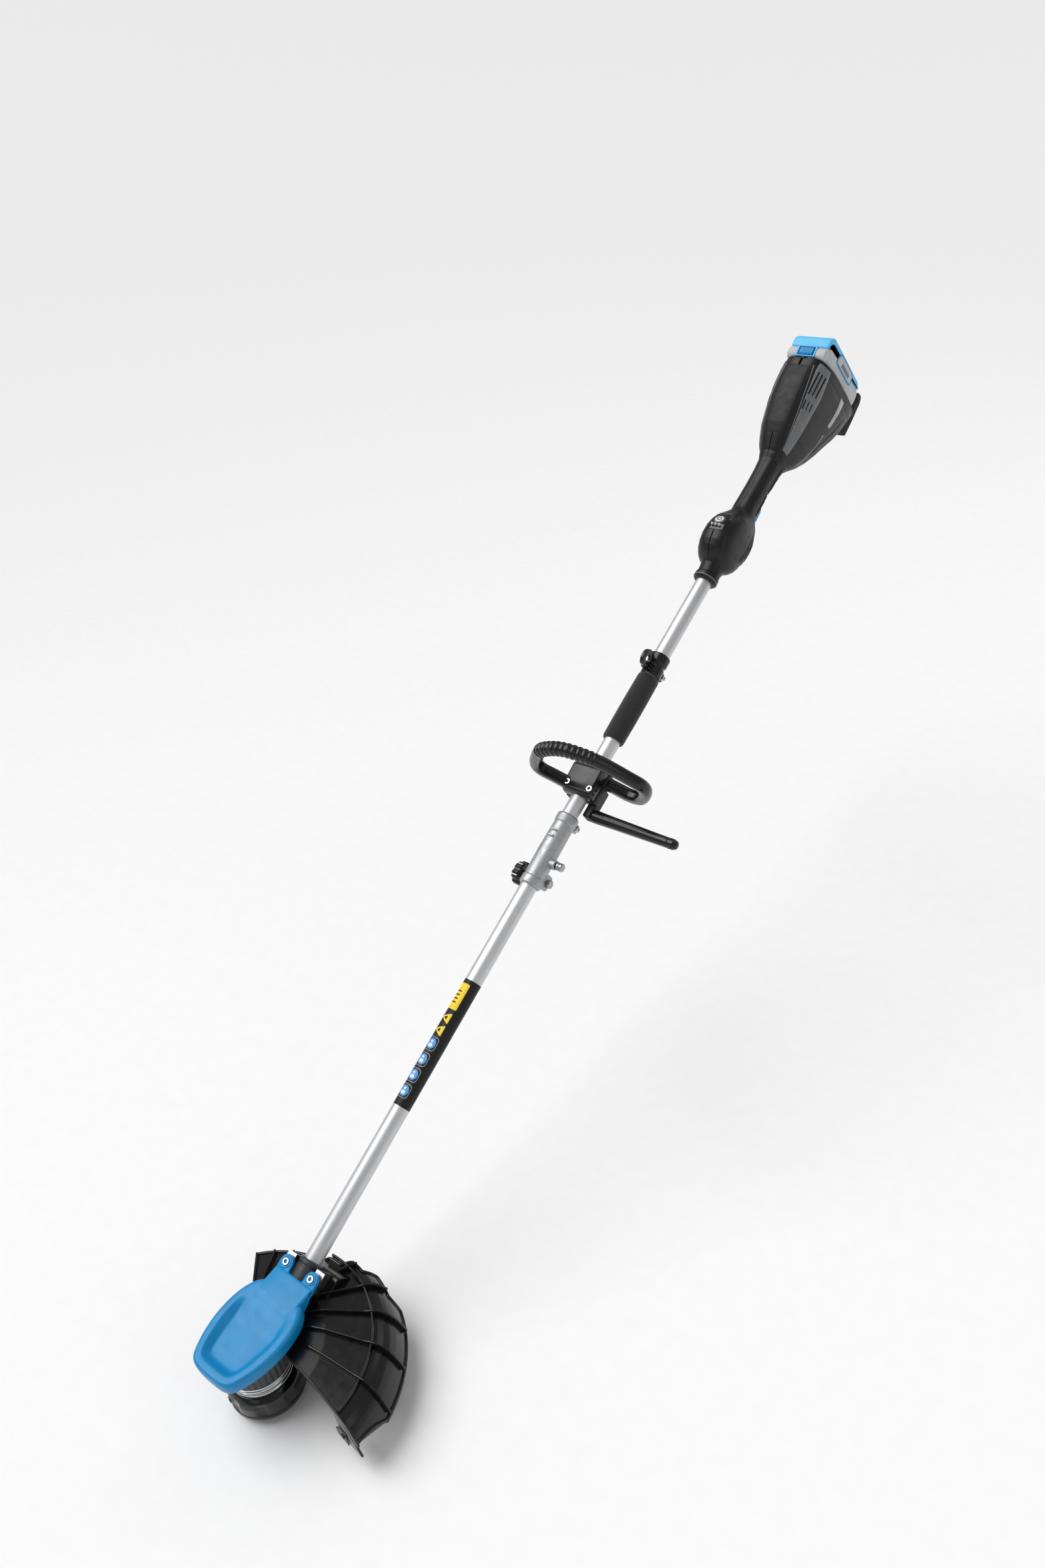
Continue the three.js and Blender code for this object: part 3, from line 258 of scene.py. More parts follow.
class Nodes:
    """A short way to add and link shader nodes in one material."""

    def __init__(self, name):
        self.material = bpy.data.materials.new(name)
        self.material.use_nodes = True
        self.tree = self.material.node_tree
        self.shader = self.tree.nodes["Principled BSDF"]
        self.coordinates = self.add("ShaderNodeTexCoord").outputs["Object"]

    def add(self, kind, links=None, **values):
        node = self.tree.nodes.new(kind)
        for key, value in values.items():
            if key in node.inputs:
                node.inputs[key].default_value = value
            else:
                setattr(node, key, value)
        for key, source in (links or {}).items():
            self.tree.links.new(source, node.inputs[key])
        return node

    def link(self, source, socket):
        self.tree.links.new(source, self.shader.inputs[socket])

    def mapped(self, scale=(1, 1, 1), turn=0.0):
        node = self.add("ShaderNodeMapping", {"Vector": self.coordinates})
        node.inputs["Scale"].default_value = scale
        node.inputs["Rotation"].default_value = (turn, 0, 0)
        return node.outputs["Vector"]

    def noise(self, scale, detail=4.0, vector=None):
        node = self.add("ShaderNodeTexNoise", {"Vector": vector or self.coordinates}, Scale=scale,
            Detail=detail)
        return node.outputs["Fac"]

    def spread(self, value, low, high):
        node = self.add("ShaderNodeMapRange", {"Value": value})
        for key, number in (("From Min", 0.3), ("From Max", 0.7), ("To Min", low), ("To Max", high)):
            node.inputs[key].default_value = number
        return node.outputs["Result"]

    def mix(self, factor, first, second):
        node = self.add("ShaderNodeMix", data_type="RGBA")
        self.tree.links.new(factor, node.inputs[0])
        for index, value in ((6, first), (7, second)):
            if hasattr(value, "is_linked"):
                self.tree.links.new(value, node.inputs[index])
            else:
                node.inputs[index].default_value = (*value, 1)
        return node.outputs[2]

    def bump(self, height, distance, strength=0.5, under=None):
        links = {"Height": height}
        if under is not None:
            links["Normal"] = under
        node = self.add("ShaderNodeBump", links, Strength=strength, Distance=distance)
        return node.outputs["Normal"]


def shade(colour, factor):
    return tuple(min(c * factor, 1.0) for c in colour)


def moulded(name, colour, rough, grain=0.00012, cell=1400, coat=0.0, drift=0.18):
    """Moulded plastic: eroded spark grain, soft unevenness, and a little polish where it is handled."""
    n = Nodes(name)
    patches, fine = n.noise(38, 5), n.noise(cell, 3)
    n.link(n.mix(n.spread(patches, 0, 1), shade(colour, 1 - drift), shade(colour, 1 + drift)), "Base Color")
    n.link(n.spread(n.noise(85, 4), rough - 0.06, rough + 0.07), "Roughness")
    n.link(n.bump(fine, grain, 0.55, n.bump(n.noise(55, 2), 0.0004, 0.12)), "Normal")
    n.shader.inputs["Specular IOR Level"].default_value = 0.32
    n.shader.inputs["Coat Weight"].default_value = coat
    n.shader.inputs["Coat Roughness"].default_value = 0.12
    return n.material


def drawn_metal(name, colour, rough, turn=0.0, scale=(900, 14, 900), depth=0.00003):
    """Drawn and anodised metal: long fine lines along its length over a satin skin."""
    n = Nodes(name)
    lines = n.noise(1.0, 4, n.mapped(scale, turn))
    n.link(n.mix(n.spread(lines, 0, 1), shade(colour, 0.93), shade(colour, 1.04)), "Base Color")
    n.link(n.spread(n.noise(24, 4), rough - 0.04, rough + 0.06), "Roughness")
    n.link(n.bump(lines, depth, 0.25), "Normal")
    n.shader.inputs["Metallic"].default_value = 1.0
    return n.material


def cast_metal(name, colour, rough, metallic=1.0, grain=0.00012):
    """Cast metal: pebbled sand-fine grain with darker pits and brighter worn tops."""
    n = Nodes(name)
    pebbles = n.add("ShaderNodeTexVoronoi", {"Vector": n.coordinates}, Scale=1100.0).outputs["Distance"]
    patches = n.noise(420, 6)
    n.link(n.mix(n.spread(patches, 0, 1), shade(colour, 0.86), shade(colour, 1.1)), "Base Color")
    n.link(n.spread(n.noise(160, 4), rough - 0.08, rough + 0.1), "Roughness")
    n.link(n.bump(pebbles, grain, 0.6, n.bump(patches, grain, 0.5)), "Normal")
    n.shader.inputs["Metallic"].default_value = metallic
    return n.material


def polished(name, colour, rough):
    """Turned and polished metal: faint tool rings and fine scratches."""
    n = Nodes(name)
    scratches = n.noise(1.0, 3, n.mapped((300, 300, 2600)))
    n.link(n.mix(n.spread(scratches, 0, 1), shade(colour, 0.92), shade(colour, 1.03)), "Base Color")
    n.link(n.spread(n.noise(60, 5), rough - 0.03, rough + 0.06), "Roughness")
    n.link(n.bump(scratches, 0.00001, 0.3), "Normal")
    n.shader.inputs["Metallic"].default_value = 1.0
    return n.material


def foamed(name, colour):
    """Closed-cell foam: small open cells cut at the skin, over a soft uneven body."""
    n = Nodes(name)
    cells = n.add("ShaderNodeTexVoronoi", {"Vector": n.coordinates}, Scale=900.0).outputs["Distance"]
    # Darker in each cell's hollow and lighter on its walls, following the bump: painted shade in the open
    # cells.
    n.link(n.mix(n.spread(cells, 0, 1), shade(colour, 0.6), shade(colour, 1.5)), "Base Color")
    n.shader.inputs["Roughness"].default_value = 0.94
    n.shader.inputs["Sheen Weight"].default_value = 0.25
    n.link(n.bump(cells, 0.0005, 0.7, n.bump(n.noise(120, 3), 0.0006, 0.3)), "Normal")
    return n.material


def wound(name, colour):
    """Wound strand: many fine turns, each a small rounded ridge with its own shade."""
    n = Nodes(name)
    turns = n.add("ShaderNodeTexWave", {"Vector": n.coordinates}, Scale=400.0, Distortion=0.4,
                  bands_direction="Z").outputs["Fac"]
    # Colour falls to 0.45 in the grooves between turns, where the bump is low: painted shade.
    n.link(n.mix(turns, shade(colour, 0.45), colour), "Base Color")
    n.shader.inputs["Roughness"].default_value = 0.35
    n.link(n.bump(turns, 0.0006, 0.8), "Normal")
    return n.material


FINISHES = {}


def finishes():
    """Makes every finish once, from the colours in the panel."""
    look = bpy.context.scene.trimmer_look
    black, blue = tuple(look.plastic), tuple(look.accent)
    FINISHES.update(
        black=moulded("black plastic", black, 0.42, drift=0.25),
        housing=moulded("housing plastic", shade(black, 0.85), 0.38, 0.00008, 1700, drift=0.2),
        satin=moulded("satin black plastic", shade(black, 0.7), 0.24, 0.00003, 900, 0.2),
        gloss=moulded("gloss black plastic", shade(black, 0.3), 0.1, 0.00001, 300, 0.3),
        rubber=moulded("soft rubber", shade(black, 0.55), 0.68, 0.0002, 1100),
        # Grey for the real grey parts, and for the collar band's painted highlight.
        grey=moulded("grey plastic and painted highlight", (0.15, 0.153, 0.16), 0.42, drift=0.12),
        # Near black: painted shade for the vent slots, and the power button's ring mark.
        recess=moulded("painted slot shade and button mark", (0.004, 0.004, 0.0045), 0.85),
        silver=moulded("silver trim", (0.42, 0.43, 0.44), 0.34, 0.00003),
        blue=moulded("blue plastic", blue, 0.4, 0.00008, 1300, 0.08, drift=0.06),
        pale_grey=moulded("battery grey", (0.5, 0.505, 0.515), 0.46, drift=0.06),
        pale_blue=moulded("battery blue", tuple(look.battery), 0.4, drift=0.05),
        tube=drawn_metal("satin aluminium", (0.64, 0.645, 0.655), 0.5, -TILT),
        cast=cast_metal("cast aluminium", (0.42, 0.425, 0.435), 0.52),
        casting=cast_metal("dark painted casting", (0.035, 0.037, 0.041), 0.4, 0.3, 0.0002),
        chrome=polished("polished steel", (0.62, 0.625, 0.635), 0.12),
        steel=polished("zinc steel", (0.4, 0.405, 0.415), 0.3),
        blade=polished("dark blade steel", (0.06, 0.061, 0.064), 0.35),
        foam=foamed("closed-cell foam", (0.013, 0.013, 0.0135)),
        copper=wound("copper winding", (0.55, 0.24, 0.1)),
        nylon=wound("nylon line", (0.72, 0.3, 0.05)),
        board=moulded("circuit board", (0.01, 0.11, 0.035), 0.3, coat=0.4),
        label=moulded("label film", (0.006, 0.006, 0.0065), 0.5, 0.00001, 600),
        yellow=moulded("label yellow", (0.85, 0.6, 0.02), 0.34, 0.00001, drift=0.03),
        label_blue=moulded("label blue", (0.05, 0.3, 0.68), 0.34, 0.00001, drift=0.03),
        label_grey=moulded("label grey", (0.33, 0.34, 0.35), 0.36, 0.00001, drift=0.03),
        # Pale finish for the power cap, the label's printed figures and the knob's painted highlights.
        white=moulded("pale print and painted highlight", (0.75, 0.76, 0.77), 0.4, 0.00001, drift=0.03),
        lamp=moulded("indicator window", (0.5, 0.53, 0.55), 0.16, 0.00001, drift=0.03),
        floor=moulded("studio floor", (0.9, 0.9, 0.905), 0.7, 0.00002, 200, drift=0.01),
    )


# ---------------------------------------------------------------------------
# Pieces
# ---------------------------------------------------------------------------

SLOT_FINISH = {
    "black_plastic": "black", "gloss_black": "gloss", "grey_plastic": "grey", "blue_plastic": "blue",
    "pale_grey_plastic": "pale_grey", "light_blue_plastic": "pale_blue", "satin_aluminium": "tube",
    "cast_aluminium": "cast", "dark_casting": "casting", "polished_steel": "chrome", "plain_steel": "steel",
    "foam_rubber": "foam", "soft_rubber": "rubber", "copper_winding": "copper", "line_nylon": "nylon",
    "circuit_board": "board",
}
SLOT_OF = {entry["node"]: entry["material_slot"] for entry in frame["record"]["subparts"]}


def piece(name, body, parts, finish, nodes=(), sharp=38):
    """One object from several closed surfaces: doubles merged, faces turned outwards, shaded by angle."""
    points, faces, start = [], [], 0
    for part_points, part_faces in parts:
        points.append(part_points)
        faces += [[index + start for index in face] for face in part_faces]
        start += len(part_points)
    mesh = bpy.data.meshes.new(name)
    mesh.from_pydata(np.concatenate(points).tolist(), [], faces)
    work = bmesh.new()
    work.from_mesh(mesh)
    bmesh.ops.remove_doubles(work, verts=work.verts, dist=2e-6)
    bmesh.ops.dissolve_degenerate(work, edges=work.edges, dist=1e-6)
    bmesh.ops.recalc_face_normals(work, faces=work.faces)
    work.to_mesh(mesh)
    work.free()
    mesh.polygons.foreach_set("use_smooth", np.ones(len(mesh.polygons), bool))
    mesh.set_sharp_from_angle(angle=np.radians(sharp))
    mesh.materials.append(FINISHES[finish])
    thing = bpy.data.objects.new(name, mesh)
    bpy.context.scene.collection.objects.link(thing)
    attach(thing, body)
    if nodes:
        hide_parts(*nodes)
    return thing


def socket_screw(place, head=5.2, high=4.3, shank=2.6, deep=10, key=2.6):
    """A socket-head screw standing on Z = 0: a knurled drum with a six-sided recess, and its shank."""
    count = 48
    angle = np.linspace(0, TAU, count, endpoint=False)
    hexagon = key / np.cos((angle % (TAU / 6)) - TAU / 12)
    knurl = 1 + 0.018 * np.sign(np.sin(angle * 24))
    levels = [
        (0 * angle, -deep), (0 * angle + shank, -deep), (0 * angle + shank, 0), (head * knurl, 0),
        (head * knurl, high - 0.7), (0 * angle + head - 0.5, high), (hexagon + 0.3, high),
        (hexagon, high - 0.3),
        (hexagon, high - 2.6), (0 * angle, high - 2.9),
    ]
    rings = [np.stack([r * np.cos(angle), r * np.sin(angle), 0 * angle + z], -1) for r, z in levels]
    return placed(loft(np.array(rings)), place)


# --- line head --------------------------------------------------------------


def head_parts():
    """The line head's turned parts; the body's radius dips between eight grip lobes."""
    def lobes(angle, radius, height):
        depth = 0.045 * smoothstep(height, 23, 27) * (1 - smoothstep(height, 41, 46)) * smoothstep(radius,
            47, 52)
        return 1 - depth * smoothstep(np.cos(8 * angle), 0.1, 0.9)

    def slits(angle, radius, height):
        return 1 - 0.03 * smoothstep(np.cos(24 * angle), 0.7, 1) * smoothstep(radius, 22, 26)

    piece("line_head_body", "head", [in_mm(spun([
        [45.5, 22.3], [53.2, 22.3], [53.5, 24], [53.5, 37], [51.5, 44.5], [46.5, 52.4], [40, 54.2], [6, 54.2],
        [6, 51], [43.5, 51], [45.5, 48]], 2.2, 144, lobes))], "gloss", ["head_body"])
    piece("line_head_base", "head", [in_mm(spun([
        [28, 12], [50, 12], [53.5, 15], [53.5, 21.7], [46, 21.7], [28, 18]], 1.6, 120))],
        "gloss", ["head_base"])
    piece("bump_button", "bump", [in_mm(spun([
        [0, 0], [20, 0], [25.5, 1.8], [27, 5], [27, 9], [24, 11.5], [15, 11.5], [11, 14], [11, 34], [5.5, 34],
        [5.5, 14], [0, 14]], 2.0, 96, slits))], "satin", ["bump_knob"])
    piece("polished_ring", "head", [
        in_mm(spun([[7, 54.6], [43, 54.6], [44.9, 55.6], [44.9, 57.2], [43, 58.6], [39.5, 59.2], [38.5, 60.8],
                    [36, 61.2], [7, 61.2]], 0.9, 120))], "chrome", ["thrust_ring"])
    ferrule = [[2, 46.2], [3.6, 46.2], [3.6, 53.9], [5.2, 53.9], [5.2, 55.2], [2, 55.2]]
    for name, degrees in (("eyelet_front", -105), ("eyelet_rear", 75)):
        a = np.radians(degrees)

        def place(points, a=a):
            p = np.asarray(points, float)
            return upright(np.stack([p[..., 2] * np.cos(a) - p[..., 0] * np.sin(a),
                                     p[..., 2] * np.sin(a) + p[..., 0] * np.cos(a), 33 + p[..., 1]], -1))
        piece(name + "_ferrule", "head", [placed(spun(ferrule, 0.6, 40), place)], "chrome",
              [name])


def in_mm(part):
    return placed(part, upright)


def motor_parts():
    """The motor cup, turned with cooling fins, and its neck: a web and a clamp sleeve round the tube."""
    fins = lambda angle, radius, height: 1 - 0.02 * smoothstep(np.cos(36 * angle), 0,
        0.6) * smoothstep(radius, 45, 46.5)
    cup = spun([
        [9, MOTOR_FLOOR + 0.4], [34, MOTOR_FLOOR + 0.4], [42, MOTOR_FLOOR + 4], [45, MOTOR_FLOOR + 11],
        [MOTOR_RADIUS, MOTOR_FLOOR + 13],
        [MOTOR_RADIUS, MOTOR_TOP], [44, MOTOR_TOP], [44, MOTOR_FLOOR + 14], [40, MOTOR_FLOOR + 6],
        [34, MOTOR_FLOOR + 4], [14, MOTOR_FLOOR + 4], [14, 90], [11, 90], [11, MOTOR_FLOOR + 4]], 1.5, 216,
        fins)
    web = on_edge(plate(rounded([
        [44, 72], [62, 76], [94, 101], [118, 119], [108, 138], [84, 128], [58, 112], [44, 112]], 6), -16,
        16, 4))
    sleeve = spun([[13.3, SOCKET[0] + 8], [16, SOCKET[0]], [18, 91], [18, 128], [16.8, 129.5], [16.8, 132],
                   [18, 133.5], [18, 138], [16.5, SOCKET[1]], [13.3, SOCKET[1]]], 0.8, 72)
    skirt = spun([[33, MOTOR_FLOOR], [42.5, MOTOR_FLOOR], [46.4, MOTOR_FLOOR + 3], [46.8, MOTOR_FLOOR + 6],
        [44.6, MOTOR_FLOOR + 7],
                  [46.2, MOTOR_FLOOR + 8], [46.6, MOTOR_FLOOR + 11.4], [43, MOTOR_FLOOR + 11.8],
                  [40, MOTOR_FLOOR + 4], [33, MOTOR_FLOOR + 1]], 0.8, 120)
    piece("motor_skirt", "shaft_lower", [in_mm(skirt)], "chrome")
    piece("motor_cup", "shaft_lower", [in_mm(cup), in_mm(web), placed(sleeve, along_shaft)],
          "casting", ["motor_housing"])


def bezier(*points, count=14):
    """A cubic Bezier span, without its last point."""
    a, b, c, d = (np.array(p, float) for p in points)
    t = np.linspace(0, 1, count, endpoint=False)[:, None]
    return (1 - t) ** 3 * a + 3 * t * (1 - t) ** 2 * b + 3 * t * t * (1 - t) * c + t ** 3 * d


def pad_outline():
    """The cover's plan: four Bezier spans down one side, mirrored to the other."""
    right = np.concatenate([
        bezier((38, 66), (52, 56), (58.4, 34), (58.4, 8)),
        bezier((58.4, 8), (58.4, -18), (51, -40), (43, -56)),
        bezier((43, -56), (38, -66), (31, -69.6), (18, -70.6), count=12),
        bezier((18, -70.6), (12, -71), (6, -71.2), (0, -71.2), count=6)])
    left = right[::-1] * (-1, 1)
    top = np.stack([np.linspace(-38, 38, 14)[1:], np.full(13, 66.0)], -1)
    return np.concatenate([right, left, top])


def cover_parts():
    """The cover: rings shrink towards its middle; the crown falls by smooth steps into a dished floor."""
    outline = pad_outline()
    middle = np.array([0.0, -4.0])
    reach = np.linalg.norm(outline - middle, axis=1, keepdims=True)

    def ring(distance, height, drop=0.0):
        rounding = np.clip(1 - distance / reach, 0, None)
        flat = middle + (outline - middle) * rounding
        z = height - drop * smoothstep(flat[:, 1], 24, 58)
        return np.column_stack([flat, z])

    rows = [ring(2.6, -19), ring(0.8, -19.4), ring(0, -18.5), ring(0.0, -12), ring(0.2, -6), ring(0.6, -3.4),
            ring(1.6, -1.6), ring(3.2, -0.5), ring(5.5, 0)]
    rows += [ring(d, 0) for d in (8, 11)]
    dish = [(12.5, 0.15), (13.5, 0.6), (15.5, 2.3), (18, 4.6), (20.5, 6.9), (22, 8.1), (23.5, 8.7),
        (26, 9.0), (32, 9.0),
            (44, 9.0), (56, 9.0)]
    for distance, depth in dish:
        row = ring(distance, 0)
        lift = 1 - 0.85 * smoothstep(row[:, 1], 6, 40)
        rows.append(np.column_stack([row[:, :2], row[:, 2] - depth * lift]))
    rows.append(np.column_stack([np.repeat(middle[None], len(outline), 0), np.full(len(outline), -9.0)]))
    under = [np.column_stack([np.repeat(middle[None], len(outline), 0), np.full(len(outline), -11.4)]),
             ring(30, -11.2), ring(5, -10.4), ring(2.8, -10.8)]
    pad = loft(np.array([r for r in under + rows]), wrap=False)
    lean = lambda p: upright(tilted(p, COVER_TILT) + (0, 0, COVER_TOP))
    ear = rounded([[-36, 82], [36, 82], [36.5, 124], [31, 131.5], [20, 131.5], [14, 125], [13, 109],
                   [-13, 109], [-14, 125], [-20, 131.5], [-31, 131.5], [-36.5, 124]], 6, 7)
    ears = plate(ear, EAR_TOP - 6.6, EAR_TOP, 1.8)
    rims = [placed(spun([[5.6, EAR_TOP - 0.5], [8.6, EAR_TOP - 0.5], [8.2, EAR_TOP + 1.3],
        [6.2, EAR_TOP + 1.3]], 0.6, 48),
                   above_shaft(side * EAR_X, EAR_AT)) for side in (-1, 1)]
    bridge = on_edge(plate(rounded([[50, 117], [62, 116], [80, 127], [92, 145.5], [76, 143.5], [50, 141]],
        5), -36, 36, 3))
    piece("cover_shell", "shaft_lower", [placed(pad, lean), placed(ears, on_shaft), in_mm(bridge)] + rims,
          "blue", ["head_cover"], sharp=50)
    for side, name in ((1, "left"), (-1, "right")):
        piece(f"cover_bolt_{name}", "shaft_lower", [socket_screw(above_shaft(side * EAR_X, EAR_AT,
            EAR_TOP - 2))],
              "chrome", [f"cover_screw_{name}"])


# --- guard ------------------------------------------------------------------


def guard_height(radius):
    """Level to 100, a gentle fall to the rib, then the steep skirt, its corner rounded by a smooth blend."""
    r = np.asarray(radius, float)
    fall = np.interp(r, [0, 100, 160, 168, 175, 182, 188, 193, 197, GUARD_RIM],
                     [106, 106, 95.5, 93.5, 89.5, 82, 72, 59, 45, 31])
    return fall


def guard_reach(degrees):
    """The rim's radius: full at the front, stepping in behind the shaft."""
    steps = ((60, 64, 9), (75, 78, 15), (85, 88, 16), (95, 98, 9))
    round_reach = 198.0 - sum(size * smoothstep(degrees, low, high) for low, high, size in steps)
    return np.minimum(round_reach, GUARD_SIDE / np.maximum(np.cos(np.radians(degrees)), 0.3))


def guard_point(u, v):
    """u from the inner edge to the rim, v from the nearly straight front edge to the radial end."""
    degrees = -2 + (GUARD_END + 2) * v
    radius = GUARD_INNER + (guard_reach(degrees) - GUARD_INNER) * u
    lean = np.arctan(-GUARD_FRONT_SLOPE)
    front = np.degrees(np.arcsin(np.clip(GUARD_FRONT * np.cos(lean) / radius, -1, 1)) - lean)
    degrees = degrees + (front + 2) * (1 - v) ** 2
    angle = np.radians(degrees)
    return np.stack([radius * np.cos(angle), radius * np.sin(angle), guard_height(radius)], -1)


def rib_along(path, wide=3.6, high=10.0):
    """A rounded bar carried along a path, half sunk in the skin."""
    return sweep(path, oval(wide / 2, high / 2, 3.2, 16), (0, 0, 1))


def guard_parts():
    """The guard: a sheet between its upper and under faces, with fan ribs, a rim rib, a front lip and a
    saddle."""
    u, v = np.meshgrid(np.linspace(0, 1, 90), np.linspace(0, 1, 260), indexing="ij")
    top = guard_point(u, v)
    du, dv = np.gradient(top, axis=0), np.gradient(top, axis=1)
    normal = np.cross(du, dv)
    normal /= np.maximum(np.linalg.norm(normal, axis=-1, keepdims=True), 1e-9)
    skin = shell(top, top - 3.0 * normal)
    parts = [skin]

    centre = np.array([-30.0, 28.0])
    for degrees in (7.5, 23, 38.5, 54, 69.5, 108, 123):
        a = np.radians(degrees)
        way = np.array([np.cos(a), np.sin(a)])
        along = np.linspace(0, 260, 261)
        spots = centre + along[:, None] * way
        radius = np.linalg.norm(spots, axis=1)
        around = np.degrees(np.arctan2(spots[:, 1], spots[:, 0]))
        keep = (radius > 66) & (radius < guard_reach(around) - 1.2) & (
            spots[:, 1] > GUARD_FRONT + 3 + GUARD_FRONT_SLOPE * spots[:, 0]) & (around < 136)
        spots, radius = spots[keep], radius[keep]
        grow = -2.5 + 4.6 * smoothstep(np.arange(len(radius)), 0, 20) + 2.2 * smoothstep(radius, 150, 168)
        parts.append(rib_along(np.column_stack([spots, guard_height(radius) + grow])))
    arc = np.radians(np.linspace(1, 95, 130))
    front = GUARD_FRONT + 2 + GUARD_FRONT_SLOPE * GUARD_RIB * np.cos(arc)
    arc = arc[GUARD_RIB * np.sin(arc) > front]
    parts.append(rib_along(np.column_stack([
        GUARD_RIB * np.cos(arc), GUARD_RIB * np.sin(arc), np.full(len(arc), 96.4)]), 3.6, 11))
    rim_v = np.linspace(0.0, 1, 240)
    rim = guard_point(np.full(240, 0.992), rim_v)
    parts.append(sweep(rim, oval(2.4, 2.4, 2.5, 14), (0, 0, 1)))
    end = guard_point(np.linspace(0.01, 0.99, 60), np.full(60, 0.995))
    parts.append(sweep(end, oval(2.0, 4.2, 3, 14), (0, 0, 1)))
    edge = guard_point(np.linspace(0.03, 0.995, 80), np.full(80, 0.003))
    parts.append(sweep(edge - (0, 0, 2.5), oval(1.7, 4.6, 3, 14), (0, 0, 1)))

    turn = np.arctan(GUARD_FRONT_SLOPE)

    def front_face(points):
        """Drawn in (out, up) on the front edge, and turned with it."""
        p = np.asarray(points, float)
        x, y = p[..., 0], p[..., 2]
        return np.stack([x * np.cos(turn) - y * np.sin(turn),
            GUARD_FRONT + x * np.sin(turn) + y * np.cos(turn), p[..., 1]], -1)

    web = plate(rounded([[150, 92], [164, 92], [181, 62], [196.5, 33.5], [176, 31], [158, 33], [150, 44]],
        3), 0.3, 3.3, 0.8)
    parts.append(placed(web, front_face))
    inner = np.radians(np.linspace(22, 136, 120))
    parts.append(sweep(np.column_stack([53 * np.cos(inner), 53 * np.sin(inner), np.full(120, 107.0)]),
                       oval(1.5, 3.6, 3, 14), (0, 0, 1)))
    arrow = rounded([[-15, 1.4], [-4, 1.4], [-4, 4.8], [4, 0], [-4, -4.8], [-4, -1.4], [-15, -1.4]], 0.5, 3)
    for heading in (-41, 139):
        a = np.radians(heading)
        spot = np.array([99.0, 87.0]) + (10 * np.array([np.cos(a), np.sin(a)]))
        flat = np.stack([arrow[:, 0] * np.cos(a) - arrow[:, 1] * np.sin(a),
                         arrow[:, 0] * np.sin(a) + arrow[:, 1] * np.cos(a)], -1) + spot
        lift = guard_height(np.linalg.norm(flat, axis=1))
        points, faces = plate(flat, -0.5, 0.8, 0.3, 2)
        parts.append((points + np.column_stack([0 * lift, 0 * lift,
            lift])[np.arange(len(points)) % len(flat)], faces))
    saddle = on_edge(plate(rounded([
        [100, 99], [103, 102.4], [128, 115.6], [134, 116], [150, 99], [148, 94], [100, 96]], 2.5), -34, 34,
        1.5))
    parts.append(saddle)
    piece("guard_shell", "shaft_lower", [in_mm(p) for p in parts], "satin", ["guard"],
        sharp=42)


# --- shaft ------------------------------------------------------------------


def tube_parts():
    """Both tubes: plain turned pipes with softened ends."""
    for name, node, body, low, high in (("lower_pipe", "lower_tube", "shaft_lower", 96, 800),
                                        ("upper_pipe", "upper_tube", "shaft_upper", 806, 1346)):
        pipe = spun([[11.5, low], [13, low], [13, high], [11.5, high]], 0.4, 96)
        piece(name, body, [placed(pipe, along_shaft)], "tube", [node])


def on_tube(points):
    """(distance round, along) wrapped on the tube; the third value stands off its skin."""
    p = np.asarray(points, float)
    radius = TUBE_RADIUS + p[..., 2]
    angle = np.radians(100) + p[..., 0] / TUBE_RADIUS
    return on_shaft(np.stack([radius * np.cos(angle), p[..., 1], radius * np.sin(angle)], -1))


def evenly(outline, count=96):
    """A closed outline walked at equal steps: each coordinate interpolated over the length so far."""
    p = np.concatenate([outline, outline[:1]])
    length = np.concatenate([[0], np.cumsum(np.linalg.norm(np.diff(p, axis=0), axis=1))])
    t = np.linspace(0, length[-1], count, endpoint=False)
    return np.stack([np.interp(t, length, p[:, k]) for k in range(p.shape[1])], -1)


def badge(shape, round_at, along_at, low, high, rows=5):
    """A thin wrapped badge: rings from the shape's edge to its middle, closed below."""
    shape = evenly(np.asarray(shape, float))
    scale = np.linspace(1, 0, rows)
    rings = [np.column_stack([shape * k + (round_at, along_at), np.full(len(shape), high)]) for k in scale]
    base = [np.column_stack([shape * k + (round_at, along_at),
        np.full(len(shape), low)]) for k in scale[::-1]]
    return placed(loft(np.array(base + rings)), on_tube)


